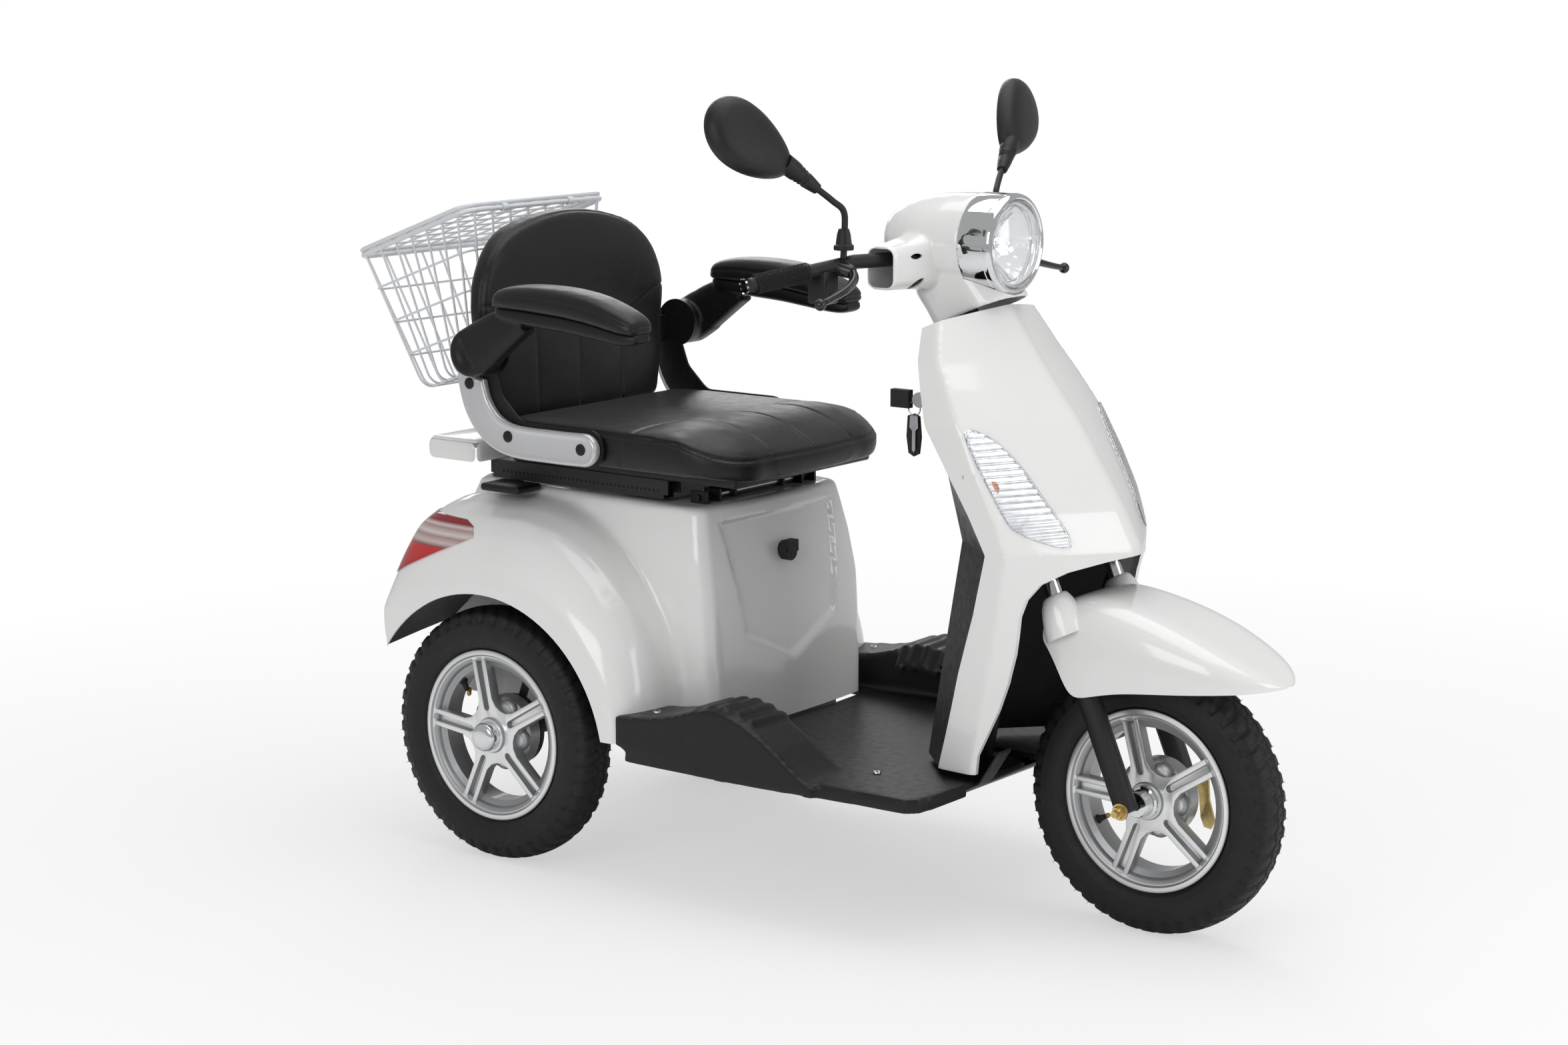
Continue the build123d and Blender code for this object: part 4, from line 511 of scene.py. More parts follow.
def puff(piece, metres, normals=None):
    """Moves a piece's surface outwards, by its own normals or by others."""
    normals = normals or [v.normal.copy() for v in piece.data.vertices]
    for vertex, normal in zip(piece.data.vertices, normals):
        vertex.co += normal * metres
    return normals


def soften_edges(piece, width, segments, **settings):
    """Rounds a piece's edges with a bevel."""
    edge = piece.modifiers.new("edge", "BEVEL")
    edge.width, edge.segments = width, segments
    for setting, value in settings.items():
        setattr(edge, setting, value)
    return settle(piece)


def melt(piece, voxel, rounds):
    """Runs the closed forms of a piece together and rounds their edges."""
    grid = piece.modifiers.new("grid", "REMESH")
    grid.mode = "VOXEL"
    grid.voxel_size = voxel
    soft = piece.modifiers.new("soft", "SMOOTH")
    soft.factor = 0.5
    soft.iterations = rounds
    return settle(piece)


def cut(piece, tool, operation="DIFFERENCE"):
    """Cuts a piece with a closed tool, which is then thrown away."""
    step = piece.modifiers.new("cut", "BOOLEAN")
    step.operation = operation
    step.solver = "EXACT"
    step.object = tool
    settle(piece)
    bpy.data.objects.remove(tool)
    return piece


def prism(build, outline, low, high, axis="Y"):
    """Adds a straight-sided form over an outline of x and z, or of x and y for axis Z."""
    def place(p, depth):
        if axis == "Y":
            return at(p[0], depth, p[1])
        return at(p[0], p[1], depth) if axis == "Z" else at(depth, p[0], p[1])
    skin_rings(build, [[place(p, low) for p in outline], [place(p, high) for p in outline]], caps=True)


def carve(piece, *builders, operation="DIFFERENCE"):
    """Cuts a piece with the closed form of each builder in turn."""
    for builder in builders:
        cut(piece, solid_from("tool", builder), operation)
    return piece


def box_form(x0, x1, y0, y1, z0, z1):
    """Returns a builder of a box."""
    def builder(build):
        prism(build, [(x0, z0), (x0, z1), (x1, z1), (x1, z0)], y0, y1)
    return builder


shell_white = new_finish("shell_white", (0.87, 0.87, 0.862), 0.18, coat=0.55, mottle=0.012, patch=5,
                         scatter=0.035, pebble=0.035, pebble_size=420)
TUB_LEVELS = [
    # height, front, front half width, side half width, rear, rear half width
    (225, 372, 189, 205, -205, 206),
    (300, 370, 191, 210, -209, 210),
    (380, 366, 193, 213, -213, 213),
    (450, 362, 192, 214, -215, 213),
    (520, 350, 185, 208, -207, 200),
    (570, 339, 178, 199, -194, 184),
    (603, 331, 174, 192, -185, 172),
]
FENDER_ROWS = [
    # half width, reach ahead of the arch, top, rise over it, reach behind it, rear rise, rear fullness
    (345, 16, -6, 20, -35, -63, 2.0),
    (342, 19, -6.5, 27, -35, -62, 2.05),
    (338, 22, -7, 36, -35, -60, 2.15),
    (331, 28, -8, 49, -35, -55, 2.3),
    (322, 35, -10, 60, -35, -50, 2.6),
    (300, 42, -12, 88, -36, -44, 3.3),
    (272, 47, -14, 112, -38, -34, 4.3),
    (230, 51, -17, 129, -46, -16, 4.8),
    (190, 52, -20, 141, -56, 2, 4.6),
]
ARCH_X, ARCH_Z, ARCH_R = -4, 190, 258
BODY_LOW, DECK_HIGH = 241, 603


def tub_form(inset, top, low=None):
    """Returns a builder of the tub, drawn in on all sides by some millimetres."""
    def builder(build):
        rings = []
        for z, front, front_w, side_w, rear, rear_w in TUB_LEVELS:
            front, rear = front - inset, rear + inset
            front_w, side_w, rear_w = front_w - inset, side_w - inset, rear_w - inset
            z = min(z, top) if low is None or z > 225 else low
            bow = arc_points((front, -front_w), (front + 8, 0), (front, front_w), 12)
            sides = [(front - 14, side_w - 4), (front - 40, side_w), (rear + 60, rear_w),
                     (rear + 16, rear_w - 16)]
            back = [(rear, rear_w - 50), (rear, 50 - rear_w)]
            mirrored = [(x, -y) for x, y in reversed(sides)]
            rings.append([at(x, y, z) for x, y in bow + sides + back + mirrored])
        skin_rings(build, rings, caps=True)
    return builder


def fender_form(side, grow=0.0):
    """Returns a builder of one fender's solid form, from its lip in to the tub."""
    def builder(build):
        rings = []
        for half_w, ahead, top_x, rise, behind, rear_rise, fullness in FENDER_ROWS:
            front = (ARCH_X + ARCH_R + ahead + grow, BODY_LOW - 12)
            top = (top_x, ARCH_Z + ARCH_R + rise + grow)
            rear = (ARCH_X - ARCH_R - behind - grow, ARCH_Z + ARCH_R + rear_rise)
            share = 0.74
            front_mid = (top[0] + (front[0] - top[0]) * share, BODY_LOW + (top[1] - BODY_LOW) * share)
            line = arc_points(front, front_mid, top, 20)
            for a in (math.pi / 2 * i / 20 for i in range(1, 21)):
                line.append((top[0] + (rear[0] - top[0]) * math.sin(a) ** (2 / fullness),
                             rear[1] + (top[1] - rear[1]) * max(0.0, math.cos(a)) ** (2 / fullness)))
            line.append((rear[0] + 18, BODY_LOW - 12))
            rings.append([at(x, side * half_w, z) for x, z in line])
        skin_rings(build, rings, caps=True)
    return builder


body = solid_from("body_form", tub_form(0, DECK_HIGH), fender_form(-1), fender_form(1))
melt(body, 0.0058, 9)
PANEL = [(-156, 581), (156, 581), (124, 390), (0, 335), (-124, 390)]


def inside_by(point, outline):
    """How far a point lies inside a convex outline: negative outside it."""
    nearest = 1e9
    for (ax, ay), (bx, by) in zip(outline, outline[1:] + outline[:1]):
        length = math.hypot(bx - ax, by - ay)
        nearest = min(nearest, ((by - ay) * (point[0] - ax) - (bx - ax) * (point[1] - ay)) / length)
    return nearest


for vertex in body.data.vertices:
    x, y, z = in_mm(vertex.co)
    if x > 300 and vertex.normal.x > 0.5:
        vertex.co.x -= 0.0075 * soft_step(0, 10, inside_by((y, z), PANEL))
lamp_skin = twin_of(body)
WELL_R, LIP_Y, TUB_SIDE_Y = 266, 341.5, 204


def round_tool(radius, low, high):
    """Returns a builder of a drum about the wheel arches' middle."""
    def builder(build):
        prism(build, [(ARCH_X + radius * math.cos(a), ARCH_Z + radius * math.sin(a))
                      for a in round_angles(96)], low, high)
    return builder


def below_tool(build):
    """Everything below the body, whose rear hangs lower than its sides."""
    prism(build, [(-420, 60), (-420, 285), (-215, 285), (-196, BODY_LOW), (420, BODY_LOW), (420, 60)],
          -400, 400)


carve(body, tub_form(13, 594, 150), box_form(-110, 230, -140, 140, 590, 640),
      round_tool(WELL_R, -LIP_Y, -TUB_SIDE_Y), round_tool(WELL_R, TUB_SIDE_Y, LIP_Y),
      round_tool(ARCH_R, -380, -230), round_tool(ARCH_R, 230, 380), below_tool)
body.name = "white_body"
crease_shade(repaint(body, shell_white))
hand_over(body, "chassis", "rear_body")
liner_black = new_finish("liner_black", (0.014, 0.014, 0.015), 0.6, mottle=0.15, patch=30, pebble=0.4)
dress("wheel_liners", liner_black)

# Rims: five twin-ribbed spokes cast in aluminium, painted silver, with the flange and the spoke
# faces turned bright on a lathe. Valves with brass caps pass through the well.


def cast_alloy(name, centre_x):
    """Silver paint with bright turned faces and fine rings round the given axle."""
    material, tree, place = new_material(name)
    normal = add_node(tree, "ShaderNodeTexCoord").outputs["Normal"]
    across = add_node(tree, "ShaderNodeSeparateXYZ", normal).outputs["Y"]
    facing = add_node(tree, "ShaderNodeMath", across, operation="ABSOLUTE")
    turned = add_node(tree, "ShaderNodeMapRange", Value=facing.outputs[0], From_Min=0.94,
                      From_Max=0.985).outputs["Result"]
    flat = add_node(tree, "ShaderNodeMapping", Vector=place, Location=(-centre_x, 0, -AXLE_Z / 1000),
                    Scale=(1, 0, 1))
    distance = add_node(tree, "ShaderNodeVectorMath", flat.outputs["Vector"], operation="LENGTH")
    rings = add_node(tree, "ShaderNodeMath", distance.outputs["Value"], 9000.0, operation="MULTIPLY")
    wave = add_node(tree, "ShaderNodeMath", rings.outputs[0], operation="SINE")
    grooves = add_node(tree, "ShaderNodeMath", wave.outputs[0], turned, operation="MULTIPLY")
    cast = add_node(tree, "ShaderNodeTexNoise", Vector=place, Scale=700.0, Detail=3.0)
    surface = add_node(tree, "ShaderNodeMath", grooves.outputs[0], 0.25, cast.outputs["Fac"],
                       operation="MULTIPLY_ADD")
    raise_surface(tree, surface.outputs[0], 0.12, 0.0004)
    gloss = add_node(tree, "ShaderNodeMapRange", Value=turned, To_Min=0.44, To_Max=0.28)
    set_shader(tree, Metallic=0.72, Coat_Weight=0.35, Roughness=gloss.outputs["Result"],
               Base_Color=blend_colours(tree, turned, (0.40, 0.405, 0.415, 1), (0.90, 0.905, 0.91, 1)))
    return material


RIM_PROFILE = [
    # millimetres across the wheel from its middle plane, and from its axle
    (33.2, 142.2), (31.2, 142.5), (30.2, 141.0), (29.9, 128.0), (29.6, 127.0), (22.0, 126.8), (16.0, 117.0),
    (-16.0, 117.0), (-22.0, 126.8), (-29.6, 127.0), (-29.9, 128.0), (-30.2, 141.0), (-31.2, 142.5),
    (-33.2, 142.2),
    (-34.0, 140.8), (-34.0, 134.4), (-33.0, 133.2), (-31.0, 131.6), (-29.6, 125.0), (-27.0, 122.6),
    (-22.5, 121.0),
    (-17.5, 111.8), (17.5, 111.8), (22.5, 121.0), (27.0, 122.6), (29.6, 125.0), (31.0, 131.6), (33.0, 133.2),
    (34.0, 134.4), (34.0, 140.8),
]
SPOKE_HALF, SLOT_HALF, RIM_FACE, SPOKE_BACK = 14.6, 5.4, 31.5, 12.0
rim_chrome = new_finish("hub_chrome", (0.78, 0.79, 0.80), 0.07, metal=1.0, mottle=0.05, patch=40,
                        scatter=0.03)
brass = new_finish("valve_brass", (0.72, 0.47, 0.16), 0.28, metal=1.0, mottle=0.12, patch=120)
valve_rubber = new_finish("valve_rubber", (0.012, 0.012, 0.012), 0.5, mottle=0.2, patch=80)


def drum(x, z, profile, count, side=1):
    """Rings about a line across the scooter, from distances out from its middle and radii."""
    return [[at(x + r * math.cos(a), side * y, z + r * math.sin(a)) for a in round_angles(count)]
            for y, r in profile]


def on_wheel(centre, radius, angle, across):
    """A point of a wheel by its radius, its angle and its distance across from the middle plane."""
    return at(centre[0] + radius * math.cos(angle), centre[1] + across,
              AXLE_Z + radius * math.sin(angle))


def wheel_turned(build, centre, profile, steps=96):
    """Adds a closed ring turned round a wheel's axle."""
    skin_rings(build, [[on_wheel(centre, r, a, y) for y, r in profile] for a in round_angles(steps)],
               closed_along=True)


def wheel_tube(build, start, end, profile, steps=16):
    """Adds a turned form between two points, from shares of its length and radii."""
    along = (end - start).normalized()
    aside = along.orthogonal().normalized()
    over = along.cross(aside)
    skin_rings(build, [[start + (end - start) * t + (aside * math.cos(a) + over * math.sin(a)) * (r / 1000)
                        for a in round_angles(steps)] for t, r in profile], caps=True)


for name, centre, body, face in WHEELS:
    in_front = name == "front"
    angles = [math.radians((33 if in_front else 30) + 72 * n) for n in range(5)]
    plan = []
    for angle in angles:
        for radius in (127.0, 100.0, 62.0):
            plan.append((radius, angle + math.asin(SPOKE_HALF / radius)))
        for share, radius in ((0.32, 50.5), (0.5, 47.5), (0.68, 50.5)):
            plan.append((radius, angle + math.radians(72 * share)))
        for radius in (62.0, 100.0, 127.0):
            plan.append((radius, angle + math.radians(72) - math.asin(SPOKE_HALF / radius)))
    star = bmesh.new()
    skin_rings(star, [[on_wheel(centre, r, a, face * y) for r, a in plan] for y in (RIM_FACE, SPOKE_BACK)],
               caps=True)
    bmesh.ops.recalc_face_normals(star, faces=star.faces)
    alloy = cast_alloy("cast_alloy_" + name, centre[0] / 1000 - ORIGIN_X)
    star = add_piece("cast_rim_" + name, star, alloy)
    slots = bmesh.new()
    for angle in angles:
        ring = []
        for along, half in ((140, SLOT_HALF + 0.6), (46, SLOT_HALF), (42.5, SLOT_HALF * 0.7),
                            (41, SLOT_HALF * 0.25)):
            ring.append((along, half))
        ring = ring + [(along, -half) for along, half in reversed(ring)]
        skin_rings(slots, [[on_wheel(centre, math.hypot(u, v), angle + math.atan2(v, u), face * y) for u,
                            v in ring]
                           for y in (RIM_FACE + 4, RIM_FACE - 11)], caps=True)
    bmesh.ops.recalc_face_normals(slots, faces=slots.faces)
    cut(star, add_piece("tool", slots))
    soften_edges(star, 0.0009, 2, angle_limit=math.radians(35))
    barrel = bmesh.new()
    wheel_turned(barrel, centre, RIM_PROFILE)
    bmesh.ops.recalc_face_normals(barrel, faces=barrel.faces)
    cut(star, add_piece("tool", barrel), "UNION")
    hand_over(crease_shade(star, 36), body, name + "_rim")
    hub = bmesh.new()
    wheel_turned(hub, centre, [(face * y, r) for y, r in (
        (-30, 8.0), (-30, 26), (-27, 28), (-24, 58), (-20, 61), (3, 61), (6, 58), (8, 44), (14, 40), (22, 33),
        (33, 29.5),
        (35.4, 28.5), (36, 27.0), (36, 8.0))])
    for angle in angles:
        middle = angle + math.radians(36)
        rings = []
        for y, size in ((2, 20), (9, 20), (13, 18.4), (15.5, 15), (16.6, 10), (17, 0.3)):
            rings.append([at(centre[0] + 42 * math.cos(middle) + size * math.cos(a), centre[1] + face * y,
                             AXLE_Z + 42 * math.sin(middle) + size * math.sin(a))
                          for a in round_angles(28)])
        skin_rings(hub, rings, caps=True)
    finish_piece(hub, "cast_hub_" + name, alloy, body)
    cap = bmesh.new()
    if in_front:
        profile = [(35, 8.2), (35, 26), (40, 26.5), (43, 25), (44.5, 21), (52, 19.5), (62, 19.5), (64, 18),
                   (64, 8.2)]
    else:
        profile = [(35, 6.0), (35, 24.5), (48, 24.2), (53, 22.5), (56, 19), (57.5, 12), (58, 0.3), (50, 0.3),
                   (50, 6.0)]
    wheel_turned(cap, centre, [(face * y, r) for y, r in profile], steps=64)
    bmesh.ops.remove_doubles(cap, verts=cap.verts, dist=0.00001)
    finish_piece(cap, "hub_cap_" + name, rim_chrome, body)
    valve_angle = math.radians(207 if in_front else 138)
    for part, finish, start, end, profile in (
        ("stem", valve_rubber, 113, 94, ((0, 7.5), (0.1, 7.5), (0.22, 5.2), (0.9, 4.2), (1, 3.6))),
        ("cap", brass, 95, 84, ((0, 3.4), (0.06, 4.0), (0.9, 3.8), (1, 2.8))),
    ):
        build = bmesh.new()
        wheel_tube(build, on_wheel(centre, start, valve_angle, face * 6),
                   on_wheel(centre, end, valve_angle, face * (6 + (113 - end) * 0.35)), profile)
        finish_piece(build, "valve_%s_%s" % (part, name), finish, body)

# Tail lamps: clear and red lenses moulded to the curve of the fenders' rear corners, with the
# ribs of a reflector painted into them as reflections. Each is cut from the body's own skin, so that it lies
# flush in its corner.


def lens_finish(name, rough, tint, clear=0.93, fluted=True):
    """Clear plastic of a lamp lens, with fine flutes or smooth."""
    material, tree, place = new_material(name)
    set_shader(tree, Base_Color=tint + (1,), Roughness=rough, IOR=1.46, Transmission_Weight=clear,
               Coat_Weight=0.5)
    if fluted:
        flutes = add_node(tree, "ShaderNodeTexWave", Vector=place, Scale=70.0, Distortion=0.3)
        flutes.bands_direction = "Z"
        raise_surface(tree, flutes.outputs["Fac"], 0.3, 0.0012)
    return material


def tail_lens_finish():
    """Red plastic below and clear plastic above, with the reflector's layered ribs painted in as pale and
    grey bands of reflection.
    """
    material = lens_finish("tail_lens", 0.05, (0.9, 0.9, 0.9), clear=0.15)
    tree = material.node_tree
    place = add_node(tree, "ShaderNodeTexCoord").outputs["Object"]
    height = add_node(tree, "ShaderNodeMapRange", From_Min=0.455, From_Max=0.58,
                      Value=add_node(tree, "ShaderNodeSeparateXYZ", place).outputs["Z"])
    # Painted reflections: the pale and grey bands across the middle stand in for the reflector's ribs.
    painted_rib_reflections = add_node(tree, "ShaderNodeValToRGB", height.outputs["Result"])
    stops = [(0.0, (0.36, 0.003, 0.005)), (0.25, (0.60, 0.006, 0.008)), (0.425, (0.66, 0.02, 0.015)),
             (0.44, (0.26, 0.08, 0.08)), (0.49, (0.74, 0.60, 0.58)), (0.56, (0.46, 0.30, 0.29)),
             (0.60, (0.82, 0.74, 0.72)), (0.67, (0.48, 0.30, 0.29)), (0.70, (0.80, 0.70, 0.68)),
             (0.735, (0.30, 0.006, 0.008))]
    while len(painted_rib_reflections.color_ramp.elements) < len(stops):
        painted_rib_reflections.color_ramp.elements.new(0.5)
    for element, (position, colour) in zip(painted_rib_reflections.color_ramp.elements, stops):
        element.position = position
        element.color = colour + (1,)
    set_shader(tree, Base_Color=painted_rib_reflections.outputs["Color"])
    return material


tail_lens = tail_lens_finish()
LAMP_OUTLINE = [(-270, 438), (-270, 553), (-150, 556), (-90, 554), (-67, 546), (-54, 532), (-120, 503),
                (-190, 471),
                (-229, 451), (-252, 438)]
puff(lamp_skin, 0.0024)
lamp_core = twin_of(lamp_skin)
puff(lamp_core, -0.0062)
cut(lamp_skin, lamp_core)


def lamp_tool(build):
    for side in (-1, 1):
        prism(build, LAMP_OUTLINE, *sorted((side * 200, side * 370)))


carve(lamp_skin, lamp_tool, operation="INTERSECT")
lamp_skin.name = "tail_lamp_lenses"
hand_over(repaint(lamp_skin, tail_lens), "chassis", "tail_lamps")

# Carrier: a white moulded plate with rounded edges behind the seat, on a black steel bracket.

carrier = solid_from("white_carrier", box_form(-261, -145, -195, 195, 626, 669))
soften_edges(carrier, 0.016, 5, limit_method="NONE")
carve(carrier, box_form(-257, -149, -191, 191, 600, 664))
hand_over(crease_shade(repaint(carrier, shell_white)), "chassis", "carrier")
dress("carrier_bracket", powder_coat)

# Charging socket on the body's front, and the forked brackets that the seat tilts on, with the
# bright rod between them.
dress("charging_socket", liner_black)
dress("seat_hinges", powder_coat)
dress("seat_buffers", new_finish("buffer_rubber", (0.015, 0.015, 0.015), 0.75, mottle=0.2, pebble=0.4))
zinc = new_finish("bright_zinc", (0.55, 0.56, 0.58), 0.25, metal=1.0, mottle=0.1, patch=60)
build = bmesh.new()
skin_rings(build, drum(294, 612, ((-100, 5), (100, 5)), 24), caps=True)
finish_piece(build, "tilt_rod", zinc, "seat", angle=38)

# Footboard: one satin black moulding with a grained floor, and a long wing at each side whose
# hump has finger-like ribs. It is fitted round the body and screwed down at the wings' ends.
satin_black = new_finish("satin_black", (0.0070, 0.0070, 0.0078), 0.36, mottle=0.12, patch=12, scatter=0.07,
                         pebble=0.22, pebble_size=1500)
FLOOR_PLAN = [(290, -336), (430, -340), (520, -340), (580, -336), (640, -328), (760, -324), (822, -321),
              (838, -306), (842, -280)]
WING_LINE = [(274, 236), (274, 287), (300, 289), (340, 293), (372, 299), (400, 307), (430, 317), (455, 322),
             (475, 324), (500, 320), (524, 312), (555, 298), (590, 276), (618, 256), (640, 242), (662, 232),
             (662, 214)]


def footboard_form(build):
    plan = FLOOR_PLAN + [(x, -y) for x, y in reversed(FLOOR_PLAN)]
    prism(build, plan, 212, 236, axis="Z")
    for side in (-1, 1):
        prism(build, WING_LINE, *sorted((side * 340, side * 236)))
        for x, top in ((434, 318), (458, 324), (482, 325), (506, 320), (530, 311)):
            ring = [(x + 10 * math.cos(a), top - 4 + 10 * math.sin(a)) for a in round_angles(16)]
            ends = [(side * 326, 0), (side * 236, -2), (side * 214, -34)]
            skin_rings(build, [[at(u, y, w + drop) for u, w in ring] for y, drop in ends], caps=True)


footboard = solid_from("black_footboard", footboard_form)
melt(footboard, 0.005, 4)
carve(footboard, tub_form(-0.8, DECK_HIGH, 150), fender_form(-1, 1.0), fender_form(1, 1.0))


def underside_tool(build):
    plan = [(300, -328), (520, -332), (636, -320), (760, -316), (818, -313), (832, -296)]
    prism(build, plan + [(x, -y) for x, y in reversed(plan)], 150, 228, axis="Z")


def hump_tool(build):
    line = [(282, 200), (282, 279), (372, 291), (430, 309), (475, 316), (524, 304), (590, 268), (640, 228),
            (640, 200)]
    for side in (-1, 1):
        prism(build, line, *sorted((side * 333, side * 240)))


carve(footboard, box_form(722, 900, -24, 24, 100, 400), box_form(780, 900, -187, 187, 100, 227),
      underside_tool, hump_tool)
crease_shade(repaint(footboard, satin_black))
hand_over(footboard, "chassis", "footboard")
dress("lower_skirt", satin_black)

# Leg shield: a glossy white front moulding that narrows to a pointed nose, with a soft crease
# down each side, cut away for the front wheel. A black panel closes it towards the rider.
SHIELD_ROWS = [
    # height, then back from the front axle: rear edge, crease; half width; nose
    (240, 289, 228, 175.5, 56), (320, 265, 207, 183, 45), (406, 242, 186, 190, 36), (500, 212, 166, 197, 38),
    (593, 188, 150, 203, 48), (650, 218, 171, 204.5, 78), (705, 253, 198, 204, 114),
    (777, 303, 236, 197, 161),
    (830, 322, 268, 182, 204), (870, 336, 294, 168, 234), (912, 346, 311, 144, 264),
    (950, 354, 324, 118, 290),
]


def shield_form(inset, back_shift=0.0, grow_rear=0.0):
    """Returns a builder of the solid inside the leg shield's surface, drawn in by millimetres."""
    def builder(build):
        rings = []
        for z, edge_back, crease_back, half_w, nose_back in SHIELD_ROWS:
            edge = WHEELBASE - edge_back - 0.6 * inset - grow_rear
            crease, nose = WHEELBASE - crease_back - inset, WHEELBASE - nose_back - inset
            half_w = half_w - inset
            middle = (crease * 0.42 + nose * 0.58 + 3, half_w * 0.5)
            side = arc_points((crease, -half_w), (middle[0], -middle[1]), (nose, -20), 14)
            tip = arc_points((nose, -20), (nose + 5, 0), (nose, 20), 6)[1:-1]
            half = [(edge, 6 - half_w)] + [
                (edge + (crease - edge) * t, 6 - half_w - 6 * t) for t in (0.33, 0.67)] + side
            line = half + tip + [(x, -y) for x, y in reversed(half)]
            rings.append([at(x + back_shift, y, z) for x, y in line])
        skin_rings(build, rings, caps=True)
    return builder


SHIELD_ARCH = [(-222, 200), (-219, 246), (-213, 277), (-196, 315), (-180, 352), (-165, 396), (-154, 440),
               (-148, 475),
               (-144, 500), (-136, 526), (-122, 548), (-96, 565), (-63, 576), (-6, 589), (54, 597),
               (140, 600), (140, 200)]
RAKE = math.radians(23)


def stem_point(up, ahead=0.0, across=0.0):
    """A point by its height along the steering stem and its distance ahead of it."""
    foot = WHEELBASE - 45 / math.cos(RAKE)
    x = foot - up * math.sin(RAKE) + ahead * math.cos(RAKE)
    return x, across, AXLE_Z + up * math.cos(RAKE) + ahead * math.sin(RAKE)


def above_tool(up):
    """Returns a builder of everything beyond a height along the stem."""
    def builder(build):
        corners = [stem_point(up, -450), stem_point(up, 450), stem_point(up + 500, 450),
                   stem_point(up + 500, -450)]
        prism(build, [(x, z) for x, _, z in corners], -500, 500)
    return builder


shield = solid_from("white_leg_shield", shield_form(0, grow_rear=9))
melt(shield, 0.0052, 3)
signal_skin = twin_of(shield)


def shield_arch_tool(build):
    prism(build, [(WHEELBASE + x, z) for x, z in SHIELD_ARCH], -320, 320)


def shield_edge_tool(build):
    line = [(WHEELBASE - row[1], row[0]) for row in SHIELD_ROWS]
    line = [(line[0][0], 180)] + line + [(line[-1][0] - 12, 1010)]
    prism(build, line + [(560, 1010), (560, 180)], -320, 320)


carve(shield, shield_form(4.2, grow_rear=60), shield_edge_tool, above_tool(766), shield_arch_tool,
      box_form(600, 1200, -300, 300, 150, 246))
hand_over(crease_shade(repaint(shield, shell_white)), "chassis", "leg_shield")
dress("inner_shield", satin_black)
dress("ignition_lock", liner_black)

# Turn signals: long clear fluted lenses let into the shield's sides, with a ribbed reflector and
# an amber bulb behind each. The lens is cut from the shield's own skin.


def smooth_line(points, count):
    """Points of a smooth curve through the given ones."""
    result = []
    for i in range(len(points) - 1):
        p0, p1 = points[max(0, i - 1)], points[i]
        p2, p3 = points[i + 1], points[min(len(points) - 1, i + 2)]
        for k in range(count):
            t = k / count
            result.append(tuple(
                0.5 * (2 * b + (c - a) * t + (2 * a - 5 * b + 4 * c - d) * t**2
                       + (3 * b - a - 3 * c + d) * t**3)
                for a, b, c, d in zip(p0, p1, p2, p3)))
    return result + [tuple(points[-1])]


SIGNAL_CORNERS = [(190, 776), (160, 766), (136, 728), (120, 668), (106, 620), (118, 603), (180, 633),
                  (193, 685), (196, 740)]
SIGNAL_OUTLINE = smooth_line(SIGNAL_CORNERS[-1:] + SIGNAL_CORNERS + SIGNAL_CORNERS[:2], 4)[4:-5]
signal_lens = lens_finish("signal_lens", 0.04, (0.95, 0.96, 0.97))
normals = puff(signal_skin, 0.0034)
signal_core = twin_of(signal_skin)
puff(signal_core, -0.0014, normals)
signal_back = twin_of(signal_core)
puff(signal_back, -0.0015, normals)
signal_base = twin_of(signal_back)
puff(signal_base, -0.0012, normals)
cut(signal_back, signal_base)
cut(signal_skin, signal_core)


def signal_tool(build):
    for side in (-1, 1):
        rings = [[at(915 - 0.475 * (z - 604) if near else 1120, side * y, z) for y, z in SIGNAL_OUTLINE]
                 for near in (True, False)]
        skin_rings(build, rings, caps=True)


carve(signal_skin, signal_tool, operation="INTERSECT")
carve(signal_back, signal_tool, operation="INTERSECT")
reflector = new_finish("signal_reflector", (0.62, 0.63, 0.65), 0.16, metal=1.0, mottle=0.25, patch=60,
                       scatter=0.08)
tree = reflector.node_tree
place = add_node(tree, "ShaderNodeTexCoord").outputs["Object"]
ribs = add_node(tree, "ShaderNodeTexWave", Vector=place, Scale=34.0, Distortion=0.3, Detail=1.0)
ribs.bands_direction = "Z"
raise_surface(tree, ribs.outputs["Fac"], 0.4, 0.003)
signal_back.name = "signal_reflectors"
hand_over(repaint(signal_back, reflector), "chassis")
amber = new_finish("amber_bulb", (0.78, 0.17, 0.01), 0.12, coat=0.6, mottle=0.12, patch=90)
build = bmesh.new()
for side in (-1, 1):
    centre, out = at(883.4, side * 184, 694), Vector((0.60, side * 0.76, 0.24)).normalized()
    up = Vector((-0.42, 0, 0.91)) - out * out.dot(Vector((-0.42, 0, 0.91)))
    up.normalize()
    aside = out.cross(up)
    rings = []
    for lift, size in ((-0.002, 1.0), (0.0008, 1.0), (0.0016, 0.86), (0.0019, 0.5), (0.0020, 0.02)):
        rings.append([
            centre + out * lift + (up * (0.0105 * math.cos(a)) + aside * (0.0075 * math.sin(a))) * size
            for a in round_angles(24)])
    skin_rings(build, rings, caps=True)
bmesh.ops.recalc_face_normals(build, faces=build.faces)
hand_over(add_piece("signal_bulbs", build, amber), "chassis")
signal_skin.name = "signal_lenses"
hand_over(crease_shade(repaint(signal_skin, signal_lens)), "chassis", "turn_signals")

